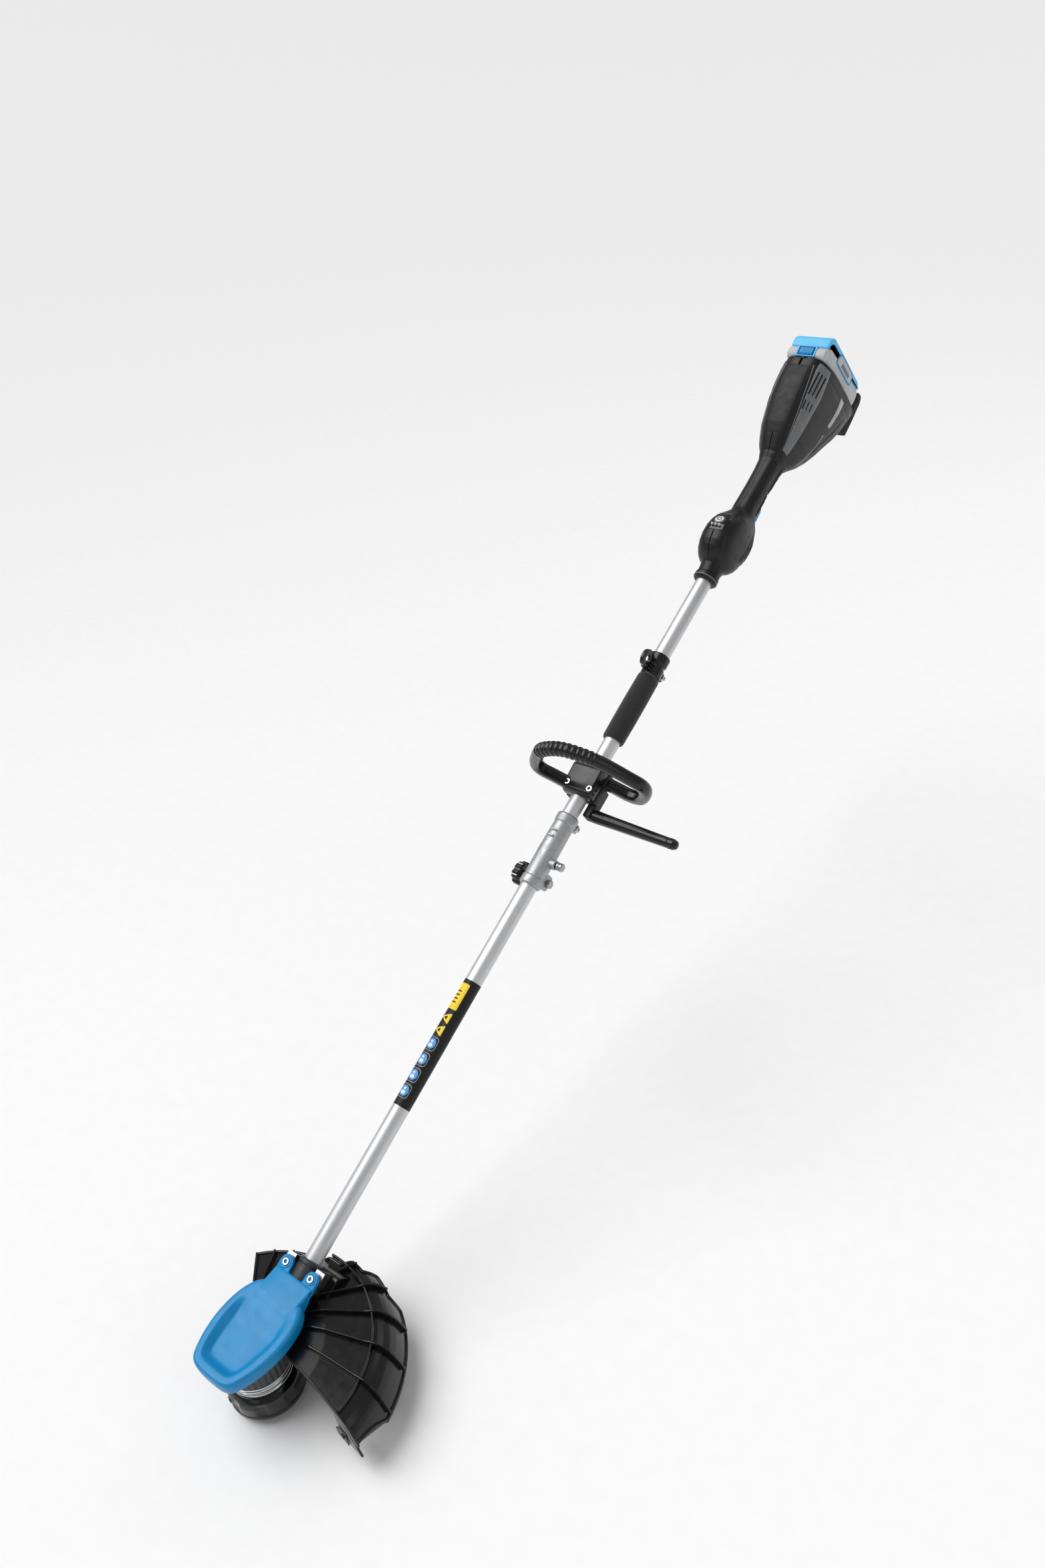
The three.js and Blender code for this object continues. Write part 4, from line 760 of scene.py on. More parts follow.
def label_parts():
    """The tube's label: a dark film with a yellow panel, two triangles and four discs, with no lettering."""
    u, v = np.meshgrid(np.linspace(-34, 30, 70), np.linspace(374, 576, 30), indexing="ij")
    film = shell(np.stack([u, v, 0 * u + 0.16], -1), np.stack([u, v, 0 * u + 0.02], -1))
    piece("label_film", "shaft_lower", [placed(film, on_tube)], "label")
    yellow = [badge(rounded([[-9, -21], [9, -21], [9, 21], [-9, 21]], 1.5, 4), 0, 548, 0.1, 0.2, 9)]
    triangle = rounded([[-8.5, -7.5], [8.5, -7.5], [0, 8.5]], 1.6, 6)[:, ::-1]
    yellow += [badge(triangle, 0, at, 0.1, 0.2, 7) for at in (513, 493)]
    piece("label_yellow", "shaft_lower", yellow, "yellow")
    marks = [badge(rounded([[-5, -1], [5, -1], [5, 1], [-5, 1]], 0.6, 4), 3, 556 - 6 * k, 0.18,
        0.26) for k in range(4)]
    marks += [badge(rounded([[-3.2, -2.6], [3.2, -2.6], [0, 3.6]], 0.4, 4)[:, ::-1], 0, at, 0.18,
        0.26) for at in (513, 493)]
    piece("label_marks", "shaft_lower", marks, "label")
    spots = (471, 446, 421, 396)
    frames = [badge(oval(10.2, 10.6, 4.5, 48), 0, at, 0.1, 0.19, 6) for at in spots]
    piece("label_frames", "shaft_lower", frames, "label_grey")
    inner = [badge(oval(9.4, 9.8, 4.5, 48), 0, at, 0.15, 0.22, 6) for at in spots]
    piece("label_fields", "shaft_lower", inner, "label")
    discs = [badge(oval(8.2, 8.2, 2, 48), 0, at, 0.18, 0.27, 6) for at in spots]
    piece("label_discs", "shaft_lower", discs, "label_blue")
    figures = []
    for at in spots:
        figures += [badge(oval(2.1, 2.1, 2, 20), 0, at + 3.4, 0.24, 0.32),
            badge(oval(3.8, 2.8, 3, 24), 0, at - 2.6, 0.24, 0.32)]
    piece("label_figures", "shaft_lower", figures, "white")


def coupler_parts():
    """The shaft coupler: a turned sleeve with collars, split clamp lugs, cooling fins and the lock pin's
    boss."""
    low, high = COUPLER
    body = spun([
        [13.3, low], [16, low], [17, low + 2], [17, low + 13], [15.8, low + 15], [16.8, 800], [16, high - 16],
        [17.2, high - 14], [17.2, high - 2], [16, high], [13.3, high]], 0.9, 72)
    parts = [placed(body, along_shaft)]
    for at, half_length, half_width, bottom in ((CLAMP_AT, 12, 12, -29), (COUPLER_SCREW_AT, 7.5, 9, -27)):
        lug = rounded([[at - half_length, -11], [at - half_length, bottom], [at + half_length, bottom],
                       [at + half_length, -11]], 6, 8)
        for side in (-1, 1):
            inner, outer = sorted((side * 1.0, side * half_width))
            parts.append(placed(on_edge(plate(lug, inner, outer, 0.9)), on_shaft))
    boss = spun([[0, 11], [7.5, 11], [7.5, 23.5], [6.4, 25], [5.4, 25], [5.4, 20], [0, 20]], 0.8, 48)
    parts.append(placed(boss, across_shaft(LOCK_PIN_AT, 0)))
    for at in (822, 832):
        fin = on_edge(plate(rounded([[at - 1.4, 12], [at - 1.4, 19.5], [at + 1.4, 19.5], [at + 1.4, 12]],
            1), -5, 5, 0.7))
        parts.append(placed(fin, on_shaft))
    piece("coupler_sleeve", "shaft_upper", parts, "cast", ["coupler_body"])

    pin = spun([[0, 9], [3, 9], [3, 26.8], [5.9, 27], [6.4, 28], [6.4, 30.5], [5.2, 31.2], [5.2, 32.4],
        [6.4, 33],
                [6.4, 36], [5.2, 37.5], [0, 37.5]], 0.5, 48)
    piece("lock_plunger", "lock_pin", [placed(pin, across_shaft(LOCK_PIN_AT, 0))], "steel",
        ["lock_pin"])

    knob = spun([[3.5, 0], [15.5, 0], [18.6, 2], [19, 5], [18.6, 12.5], [16.4, 15], [9, 15], [8, 13],
        [3.5, 13]], 1.4, 144,
                lambda angle, radius, height: 1 - 0.12 * smoothstep(radius, 10,
                17) * smoothstep(-np.cos(6 * angle), 0.1, 0.9))
    piece("knob_grip", "clamp_knob", [placed(knob, lambda p: across_shaft(CLAMP_AT, BOLT_HEIGHT, -1)(
        np.asarray(p) + (0, 0, KNOB_FACE)))], "satin", ["clamp_knob"])
    # Pale bars on the knob's lobe crowns: painted highlights, not print.
    painted_highlights = []
    for k in range(6):
        a = k * TAU / 6
        bar = plate(rounded([[-1.0, -5], [1.0, -5], [1.0, 5], [-1.0, 5]], 0.9, 4), 0, 0.7, 0.3, 2)
        points, faces = bar
        # Each painted highlight stripe stands on a lobe's crown and runs along the knob.
        local = np.stack([18.5 + points[:, 2], points[:, 0], KNOB_FACE + 7.5 + points[:, 1]], -1)
        spun_to = np.stack([local[:, 0] * np.cos(a) - local[:, 1] * np.sin(a),
                            local[:, 0] * np.sin(a) + local[:, 1] * np.cos(a), local[:, 2]], -1)
        painted_highlights.append((across_shaft(CLAMP_AT, BOLT_HEIGHT, -1)(spun_to), faces))
    piece("knob_painted_highlights", "clamp_knob", painted_highlights, "white")
    bolt = [placed(spun([[0, -12.9], [3.2, -12.9], [3.2, 37.5], [0, 37.5]], 0.4, 32),
        across_shaft(CLAMP_AT, BOLT_HEIGHT, -1)),
            placed(spun([[3, 12.7], [6.5, 12.7], [6.5, 30.6], [3, 30.6]], 0.6, 40),
            across_shaft(CLAMP_AT, BOLT_HEIGHT, -1)),
            placed(turned([[0, 12.5], [6.4, 12.5], [6.9, 13.2], [6.9, 17.8], [6.2, 18.5], [0, 18.5]], 6),
                   across_shaft(CLAMP_AT, BOLT_HEIGHT))]
    piece("knob_bolt", "clamp_knob", bolt, "steel", ["clamp_bolt"])
    piece("coupler_bolt", "shaft_upper", [socket_screw(lambda p: across_shaft(COUPLER_SCREW_AT,
        -20)(np.asarray(p) + (0, 0, 9.4)), 4.6, 4.6, 2.5, 17, 2.2)],
          "chrome", ["coupler_screw"])


# --- handles ----------------------------------------------------------------

LOOP_ROUTE = [
    [-16, 909, 4], [-50, 909, 5], [-72, 909, 6], [-81, 910, 20], [-79, 911, 50], [-70, 913, 84],
    [-43, 919, 107], [-10, 924, 112], [22, 929, 104], [60, 934, 84], [82, 938, 66], [88, 939, 40],
    [83, 938, 12], [66, 938, -2], [44, 938, -3], [16, 938, -2],
]


def rolled(points):
    """Leans the loop about the shaft: across and above mix by the roll's cosine and sine."""
    p = np.asarray(points, float)
    c, s = np.cos(LOOP_ROLL), np.sin(LOOP_ROLL)
    return np.stack([c * p[..., 0] + s * p[..., 2], p[..., 1], c * p[..., 2] - s * p[..., 0]], -1)


def handle_parts():
    """The loop: an oval carried round its route, ridged where it is held and channelled along the lower
    bars."""
    count = 520
    path = smooth_path(LOOP_ROUTE, count)
    length = np.concatenate([[0], np.cumsum(np.linalg.norm(np.diff(path, axis=0), axis=1))])
    share = length / length[-1]
    held = smoothstep(share, 0.285, 0.30) * (1 - smoothstep(share, 0.505, 0.52))
    ridge = np.abs(np.cos(length / 8.2 * np.pi)) ** 0.5
    girth = 0.95 + held * (0.2 * ridge - 0.12)
    bars = 1 - smoothstep(share, 0.14, 0.2) * (1 - smoothstep(share, 0.80, 0.86))
    section = oval(10.6, 10.6, 2.4, 44)
    squared = oval(9.0, 10.2, 4.0, 44)
    channel = squared.copy()
    channel[:, 0] -= np.sign(squared[:, 0]) * 3.2 * (1 - smoothstep(np.abs(squared[:, 1]), 4.2,
        6.2)) * (np.abs(squared[:, 0]) > 5)
    mix = bars[:, None, None]
    sections = (section * (1 - mix) + channel * mix) * girth[:, None, None]
    loop = placed(sweep(path, sections, (0, 1, 0)), lambda p: on_shaft(rolled(p)))

    low, high = HANDLE_CLAMP
    saddle = on_edge(plate(rounded([[low, 1], [high, 1], [high, 15], [high - 8, 24], [low + 4, 21],
        [low, 12]], 4), -27, 27, 3))
    towers = [placed(spun([[0, 10], [8.4, 10], [8.4, 17.2], [7.6, 18.4], [5.8, 18.4], [5.8, 17], [0, 17]],
        0.8, 48),
                     above_shaft(side * 21, HANDLE_SCREW_AT)) for side in (-1, 1)]
    ledges = [placed(on_edge(plate(rounded([[low + 2, 4], [high - 2, 4], [high - 5, 12 + 5 * k],
        [low + 5, 10 + 4 * k]], 3),
                                   -14 + 9 * k, -11 + 9 * k, 1)), on_shaft) for k in range(3)]
    piece("loop_grip", "loop", [loop, placed(saddle, on_shaft)] + towers + ledges, "satin",
          ["loop_handle"], sharp=45)

    under = on_edge(plate(rounded([[low, 0.2], [low, -14], [low + 6, -19], [high - 6, -19], [high, -14],
        [high, 0.2]], 4),
                          -27, 27, 2.5))
    bracket = plate(rounded([[12, 876], [25, 876], [25, 928], [12, 928]], 3), -29, -10, 2)
    piece("clamp_underside", "loop", [placed(under, on_shaft), placed(bracket, on_shaft)], "black",
          ["handle_clamp"])
    for side, name in ((1, "left"), (-1, "right")):
        piece(f"handle_bolt_{name}", "loop", [socket_screw(above_shaft(side * 21, HANDLE_SCREW_AT, 17.4), 5,
            4.6, 2.5, 32, 2.4)],
              "chrome", [f"handle_screw_{name}"])

    flute = lambda angle, radius, height: 1 - 0.035 * smoothstep(np.abs(np.cos(angle)), 0.93,
        0.99) * smoothstep(height, 34, 44) * (
        1 - smoothstep(height, 150, 162))
    bar = spun([[0, 15], [7, 15], [7, 25.4], [10, 26.4], [10.2, 34], [9.6, 60], [8, 160], [8, 161],
        [7.4, 161.6],
                [7.4, 162.6], [8.4, 163.4], [8.2, 171], [6.2, 176.4], [3, 178], [0, 178]], 1.5, 96, flute)
    piece("barrier_arm", "loop", [placed(bar, across_shaft(884, -20))], "satin",
        ["barrier_bar"])


def foam_part():
    """The foam sleeve: a turned wall with full round ends that swell a little between them."""
    low, high = FOAM
    along = np.linspace(low, high, 60)
    swell = 17.5 + 0.5 * np.sin(np.pi * (along - low) / (high - low)) - 1.3 * (
        1 - smoothstep(along, low, low + 3)) - 1.3 * smoothstep(along, high - 3, high)
    profile = np.concatenate([[[13.3, low]], np.column_stack([swell, along]), [[13.3, high]]])
    thing = piece("foam_grip", "shaft_upper", [placed(turned(profile, 96), along_shaft)], "foam",
        ["foam_sleeve"])


def strap_parts():
    """The harness eye: a grooved band round the tube, a pierced plate above it and a screwed ear below."""
    at = STRAP_EYE_AT
    low, high = at - 13, at + 25
    band = [[13.3, low], [15.9, low], [16.6, low + 1], [16.6, low + 15], [15.8, low + 17], [14.9, low + 18],
        [14.9, low + 21],
            [15.8, low + 22], [16.6, low + 24], [16.6, high - 1], [15.9, high], [13.3, high]]
    count = 72
    angle = np.linspace(0, TAU, count, endpoint=False)
    sweep_out = np.stack([np.cos(angle), np.sin(angle)], -1)
    outer = sweep_out * (15.8, 16.0)
    outer[:, 0] = np.maximum(outer[:, 0], -12.9)
    outer[:, 1] = np.where(sweep_out[:, 1] < 0, np.maximum(outer[:, 1] * 1.4, -17.5), outer[:, 1])
    inner = sweep_out * 6.2
    levels = [(outer * 0.94, -2.7), (outer, -2.0), (outer, 2.0), (outer * 0.94, 2.7), (inner * 1.14, 2.7),
        (inner, 2.0),
              (inner, -2.0), (inner * 1.14, -2.7)]
    rings = np.array([np.column_stack([o + (at, 30), np.full(count, z)]) for o, z in levels])
    eye = on_edge(loft(rings, wrap=True))
    ribs = [on_edge(plate(rounded([[s - 0.9, 12], [s - 0.9, 25], [s + 0.9, 25], [s + 0.9, 12]], 0.8, 3), -8,
        8, 0.8))
            for s in (low + 3, low + 8, low + 13)]
    ear = rounded([[at - 9, -13], [at - 8, -24], [at, -28.5], [at + 8, -24], [at + 9, -13]], 5, 7)
    lugs = [on_edge(plate(ear, *sorted((side * 0.8, side * 6.5)), 0.8)) for side in (-1, 1)]
    piece("harness_ring", "strap", [placed(spun(band, 0.5, 72), along_shaft)] + [placed(p,
        on_shaft) for p in [eye] + ribs + lugs],
          "satin", ["strap_eye"])
    piece("harness_bolt", "strap", [socket_screw(lambda p: across_shaft(at, -21)(np.asarray(p) + (0, 0, 7)),
        4.4, 4.4, 2.2, 15, 2)],
          "chrome", ["strap_screw"])


# --- rear housing -------------------------------------------------------------

SECTIONS = np.array([
    [1322, 18.5, 18.5, -18.5, 2.0], [1330, 18.8, 19, -18.8, 2.0], [1338, 19.5, 20.5, -20, 2.1],
    [1342, 23.5, 26.5, -24, 2.2],
    [1347, 27, 34, -29, 2.4], [1354, 29, 41, -34, 2.6], [1364, 30, 46, -38, 2.8],
    [1376, 30.5, 49, -40.5, 2.9],
    [1390, 30.7, 49.2, -42.5, 2.9], [1402, 30.2, 46.5, -43, 2.9], [1412, 28.8, 42.5, -43, 2.8],
    [1422, 26.5, 36.5, -43, 2.7],
    [1432, 23.2, 29, -43, 2.6], [1440, 20.6, 23.4, -40, 2.5], [1446, 19.4, 21.6, -30, 2.5],
    [1452, 18.9, 21, -18.5, 2.5],
    [1475, 18.3, 20.8, -17.2, 2.5], [1500, 18, 20.8, -17, 2.5], [1530, 18.4, 22, -17.6, 2.5],
    [1548, 19.6, 23.5, -19.6, 2.6],
    [1560, 23.4, 29, -27, 2.7], [1580, 29.8, 42, -42, 2.9], [1600, 34.8, 53, -53, 3.0],
    [1625, 38.4, 61, -63.5, 3.1],
    [1650, 41, 68, -72, 3.2], [1675, 42.8, 72.4, -82, 3.3], [1700, 43.9, 75.6, -90, 3.3],
    [1745, 44.4, 78.8, -97, 3.3],
    [1780, 44.5, 80, -98, 3.3],
])


def housing_point(at, degrees, out=0.0):
    """A superellipse whose half width, top, bottom and squareness run smoothly along the shaft."""
    at, degrees, out = np.broadcast_arrays(np.asarray(at, float), np.asarray(degrees, float), out)
    half, top, bottom, power = (np.interp(at, SECTIONS[:, 0], SECTIONS[:, k]) for k in (1, 2, 3, 4))
    c, s = np.cos(np.radians(degrees)), np.sin(np.radians(degrees))
    bend = lambda v: np.sign(v) * np.abs(v) ** (2 / power)
    return np.stack([(half + out) * bend(c), at, (top + bottom) / 2 + ((top - bottom) / 2 + out) * bend(s)],
        -1)


def to_face(at, degrees, out=0.0, start=1660):
    """Beyond start, distances are stretched so that the last lands on the tilted battery face."""
    at = np.asarray(at, float)
    share = np.clip((at - start) / (FACE_AT - start), 0, 1)
    guess = housing_point(at, degrees, out)
    end = FACE_AT - 0.17 * (guess[..., 2] - FACE_TOP)
    moved = np.where(at > start, start + share * (end - start), at)
    guess = housing_point(moved, degrees, out)
    return guess


def housing_parts():
    """The rear housing: two shells met at a fine seam, with raised bands, panels and vents laid on the
    same surface."""
    fine = np.unique(np.concatenate([np.linspace(HOUSING_START, 1460, 90), np.linspace(1460, 1548, 40),
        np.linspace(1548, 1660, 60),
                                     np.linspace(1660, FACE_AT, 30)]))

    def relief(at, degrees):
        """Grooves and bands: how far the skin stands out at each place."""
        side = np.abs(((degrees + 90) % 360) - 180)      # 180 at the underside, 0 on top
        up = 90 - side
        ring = -1.1 * np.exp(-((at - 1340) / 1.3) ** 2)
        upper_groove = -1.3 * np.exp(-((up + 24) / 2.4) ** 2) * smoothstep(at, 1600,
            1612) * (1 - smoothstep(at, 1690, 1700))
        lower_groove = -1.3 * np.exp(-((up + 40) / 2.0) ** 2) * smoothstep(at, 1590,
            1600) * (1 - smoothstep(at, 1680, 1690))
        panel = -1.2 * (np.exp(-((up + 14) / 2.2) ** 2) + np.exp(-((up + 58) / 2.2) ** 2)) * smoothstep(at,
            1366, 1370) * (
            1 - smoothstep(at, 1428, 1432))
        lines = -0.9 * np.exp(-(((at - 1368) % 62 - 31) / 1.0) ** 2) * (at < 1432) * (at > 1366) * (up > -
            58) * (up < -14)
        neck = -0.9 * np.exp(-((at - 1560) / 1.2) ** 2)
        end = -1.0 * np.exp(-((at - 1702) / 1.2) ** 2)
        return ring + upper_groove + lower_groove + panel + lines + neck + end

    for name, node, first, last in (("housing_shell_left", "housing_left", -89.6, 89.6),
                                    ("housing_shell_right", "housing_right", 90.4, 269.6)):
        at, degrees = np.meshgrid(fine, np.linspace(first, last, 110), indexing="ij")
        skin = to_face(at, degrees, relief(at, degrees))
        middle = to_face(at, degrees, -4.0)
        skin_part = shell(skin, middle)
        cap = shell(np.stack([skin[-1] + (0, -0.4, 0), skin[-1] * (0.02, 1, 1) + (0, -0.4, 0)]),
                    np.stack([skin[-1] + (0, -3, 0), skin[-1] * (0.02, 1, 1) + (0, -3, 0)]))
        piece(name, "shaft_upper", [placed(skin_part, on_shaft), placed(cap, on_shaft)], "housing",
              [node], sharp=50)

    collar = spun([[13.3, 1309], [16.6, 1309], [20, 1312.4], [20.2, 1319.6], [19.4, 1321.7],
        [13.3, 1321.7]], 1.0, 96)
    piece("collar_ring", "shaft_upper", [placed(collar, along_shaft)], "housing",
        ["housing_collar"])
    # A thin lighter band round the collar: a painted highlight.
    shine = spun([[19.9, 1312.6], [20.35, 1312.9], [20.35, 1314.4], [19.9, 1314.8]], 0.2, 96)
    piece("collar_painted_highlight", "shaft_upper", [placed(shine, along_shaft)], "grey")


def patch(at_low, at_high, low_edge, high_edge, inner, outer, rows=60, columns=24, mirror=False):
    """A raised panel on the housing: its two long edges are angles that vary along it, and its rim is
    rounded."""
    t = np.linspace(0, 1, rows)[:, None]
    w = np.linspace(0, 1, columns)[None, :]
    at = at_low + (at_high - at_low) * t + 0 * w
    low, high = np.interp(t, *low_edge), np.interp(t, *high_edge)
    degrees = low + (high - low) * w
    if mirror:
        degrees = 180 - degrees
    rim = np.minimum(np.minimum(t, 1 - t) * rows / 3, np.minimum(w, 1 - w) * columns / 3)
    out = inner + (outer - inner) * np.sqrt(np.clip(rim, 0, 1))
    return placed(shell(to_face(at, degrees, out), to_face(at, degrees, inner - 1.0)), on_shaft)


def trim_parts():
    """Panels laid on the housing: side vents, label field, silver lines, grip inlays, control panel and
    button."""
    for mirror, name in ((False, "left"), (True, "right")):
        vent_low, vent_high = ([0, 0.7, 1], [12, 16, 26]), ([0, 0.9, 1], [38, 58, 57])
        parts = [patch(1566, 1712, vent_low, vent_high, 0.2, 1.6, 90, 20, mirror)]
        piece(f"vent_panel_{name}", "shaft_upper", parts, "grey", [f"side_vent_{name}"])
        slot_shades = []
        # The vent slots are near-black patches standing just proud of the grey panel: painted shade where the
        # openings would be.
        for k in range(3):
            start = 25 + 9.5 * k
            slot_shades.append(patch(1658 - 2 * k, 1700, ([0, 1], [start, start + 1.8]),
                ([0, 1], [start + 6.0, start + 9.4]), 0.6, 1.85, 30, 8, mirror))
            slot_shades.append(patch(1634 - 2 * k, 1652 - 2 * k, ([0, 1], [start - 2.2, start - 0.6]),
                ([0, 1], [start + 2.6, start + 5.2]), 0.6, 1.85, 16, 8, mirror))
        piece(f"vent_slot_shades_{name}", "shaft_upper", slot_shades, "recess")
        lines = [patch(1572, 1648, ([0, 1], [-30, -13.4]), ([0, 1], [-28.6, -12]), 0.1, 0.7, 60, 6, mirror),
                 patch(1664, 1706, ([0, 1], [-12, -6]), ([0, 1], [-7, -1]), 0.1, 0.8, 40, 8, mirror)]
        piece(f"silver_lines_{name}", "shaft_upper", lines, "silver")
        brow = [patch(1566, 1704, ([0, 1], [38, 66]), ([0, 1], [40, 68.5]), 0.1, 0.9, 70, 6, mirror)]
        piece(f"brow_line_{name}", "shaft_upper", brow, "grey")
        side = [patch(1372, 1424, ([0, 1], [-52, -52]), ([0, 1], [-20, -20]), 0.1, 1.1, 40, 24, mirror)]
        for k in range(3):
            low = -48 + 9.5 * k
            side.append(patch(1380, 1416, ([0, 1], [low, low]), ([0, 1], [low + 3, low + 3]), 0.9, 1.8, 30,
                6, mirror))
        piece(f"bulge_panel_{name}", "shaft_upper", side, "black")
        inlay = [patch(1454, 1498, ([0, 1], [-50, -50]), ([0, 1], [-14, -14]), 0.1, 1.0, 40, 20, mirror),
                 patch(1502, 1550, ([0, 1], [-50, -44]), ([0, 1], [-14, -8]), 0.1, 1.0, 40, 20, mirror)]
        for low in (1463, 1511):
            for k in range(2):
                inlay.append(patch(low, low + 26, ([0, 1], [-42 + 14 * k] * 2),
                    ([0, 1], [-38 + 14 * k] * 2), 0.8, 1.6, 30, 6, mirror))
        piece(f"grip_inlay_skin_{name}", "shaft_upper", inlay, "rubber",
            [f"grip_inlay_{name}"])

    crown = patch(1584, 1700, ([0, 1], [62, 74]), ([0, 1], [118, 106]), 0.1, 0.6, 80, 30)
    piece("label_field", "shaft_upper", [crown], "label")
    panel = patch(1378, 1420, ([0, 0.15, 1], [66, 62, 66]), ([0, 0.15, 1], [114, 118, 114]), 0.2, 1.0, 50, 40)
    piece("panel_window", "shaft_upper", [panel], "gloss", ["control_panel"])

    def above_panel(x, forward):
        """Stands on the panel's slope: turned back by the button's tilt and moved to its place."""
        def place(points):
            p = np.asarray(points, float) + (x, forward, 0)
            return on_shaft(tilted(p, BUTTON_TILT) + (0, BUTTON_AT, 0))
        return place

    button = spun([[0, 46], [7.2, 46], [7.2, 53.4], [6.2, 54.4], [5.2, 54], [0, 54]], 0.6, 48)
    piece("power_cap", "power_button", [placed(button, above_panel(0, 0))], "white",
        ["power_button"])
    ring = spun([[7.9, 50], [9.2, 50], [9.2, 52.6], [7.9, 52.6]], 0.4, 48)
    piece("button_bezel", "shaft_upper", [placed(ring, above_panel(0, 0))], "grey")
    mark = spun([[3.1, 53.7], [4.0, 53.7], [4.0, 54.6], [3.1, 54.6]], 0.2, 40)
    piece("button_mark", "power_button", [placed(mark, above_panel(0, 0))], "recess")
    lamps = [placed(spun([[0, 50], [1.9, 50], [1.9, 53.0], [1.3, 53.5], [0, 53.5]], 0.4, 28),
        above_panel(6.5 * k, -12.5))
             for k in (-1, 0, 1)]
    piece("charge_lamps", "shaft_upper", lamps, "lamp")


def control_parts():
    """Trigger, lock-off piece and rear foot: rounded side profiles given width."""
    trigger = on_edge(plate(rounded([
        [1449, -10], [1450, -24], [1454, -31.5], [1461, -34], [1480, -32], [1488, -25], [1493, -14],
        [1492, -9],
        [1482, -8]], 3.5), -7, 7, 2.4))
    piece("trigger_lever", "trigger", [placed(trigger, on_shaft)], "blue", ["trigger"])
    lock = on_edge(plate(rounded([[1436, -24], [1435.5, -44], [1437, -50], [1443, -50], [1445.5, -44],
        [1445.5, -24]], 2.5),
                         -5, 5, 1.6))
    piece("lock_off_lever", "lock_off", [placed(lock, on_shaft)], "blue", ["lock_off"])
    foot = on_edge(plate(rounded([[-34, -172], [-6, -174], [34, -174], [44, -169], [44, -158], [40, -153],
        [4, -153],
                                  [2, -146], [-34, -146]], 4), -30, 30, 3))
    ribs = [on_edge(plate(rounded([[36, -172], [43.6, -168], [43.6, -159], [36, -156]], 2), x - 2, x + 2,
        0.8)) for x in (-18, 0, 18)]
    piece("rear_pad", "shaft_upper", [placed(p, on_face) for p in [foot] + ribs], "rubber",
        ["rear_foot"])


def battery_parts():
    """The pack: a grey case and a blue lid with rounded edges, rails, a latch in its window and framed
    sides."""
    low, seam, wide, deep = -142, 20, 35, 48
    case = on_edge(plate(rounded([[0.8, low + 1], [seam - 6, low - 3], [seam + 10, low - 3],
        [seam + 16, low + 4],
                                  [seam + 16, -9], [seam, -4.6], [0.8, -4.6]], 4), -wide, wide, 4))
    rail = on_edge(plate(rounded([[-10, -106], [2, -106], [2, -3], [-10, -3]], 1.5), -24, 24, 1.2))
    shoulders = [on_edge(plate(rounded([[1, -14], [24, -14], [25, -3], [17, 3.6], [6, 3.6], [1, -1]], 4),
                               *sorted((side * 14, side * 34.8)), 3.4)) for side in (-1, 1)]
    piece("pack_case", "battery", [placed(p, on_face) for p in [case, rail] + shoulders], "pale_grey",
          ["battery_case"])
    lid = on_edge(plate(rounded([[seam + 15, low + 2], [deep - 8, low + 2], [deep, low + 10], [deep, -9],
        [deep - 8, 1],
                                 [seam + 3, 1], [seam + 2, -4], [seam + 13, -10]], 5), -wide, wide, 4.5))
    frame_sides = [on_edge(plate(rounded([[3.4, -1.2], [3.4, 5], [21, 5], [21, -1.2]], 1.2),
        *sorted((side * 14.6, side * 17.4)), 0.9))
                   for side in (-1, 1)]
    frame_ends = [on_edge(plate(rounded([[y, -5.4], [y, 5], [y + 1.8, 5], [y + 1.8, -5.4]], 0.6), -17, 17,
        0.7)) for y in (2.4, 20.2)]
    piece("pack_lid", "battery", [placed(p, on_face) for p in [lid] + frame_sides + frame_ends], "pale_blue",
          ["battery_lid"])
    for side, name in ((1, "left"), (-1, "right")):
        outline = np.array([[24, -36], [40, -40], [44, -48], [44, -96], [40, -104], [24, -108], [21, -100],
            [21, -44]])
        rim = on_edge(plate(rounded(outline, 4), *sorted((side * (wide - 1), side * (wide + 0.7))), 0.6))
        field = on_edge(plate(inset(rounded(outline, 4), 3.2),
            *sorted((side * (wide - 1), side * (wide + 0.9))), 0.3))
        piece(f"pack_frame_{name}", "battery", [placed(rim, on_face)], "blue")
        piece(f"pack_field_{name}", "battery", [placed(field, on_face)], "pale_grey")
        print_band = on_edge(plate(rounded([[27, -56], [34, -58], [34, -92], [27, -92]], 2),
                                   *sorted((side * wide, side * (wide + 1.1))), 0.2, 2))
        piece(f"pack_band_{name}", "battery", [placed(print_band, on_face)], "grey")
    latch = [on_edge(plate(rounded([[5.6, 0.8], [5.6, 3.6], [8, 5.6], [18.6, 5.6], [18.6, 0.8]], 1.2),
        -12.4, 12.4, 1))]
    latch += [on_edge(plate(rounded([[a, 5.2], [a, 6], [a + 1.4, 6], [a + 1.4, 5.2]], 0.3, 3), -8, 8, 0.3,
        2)) for a in (9, 12, 15)]
    piece("latch_key", "battery_latch", [placed(p, on_face) for p in latch], "blue",
        ["battery_latch"])


# ---------------------------------------------------------------------------
# Add-on: sizes and colours, operators and panel
# ---------------------------------------------------------------------------


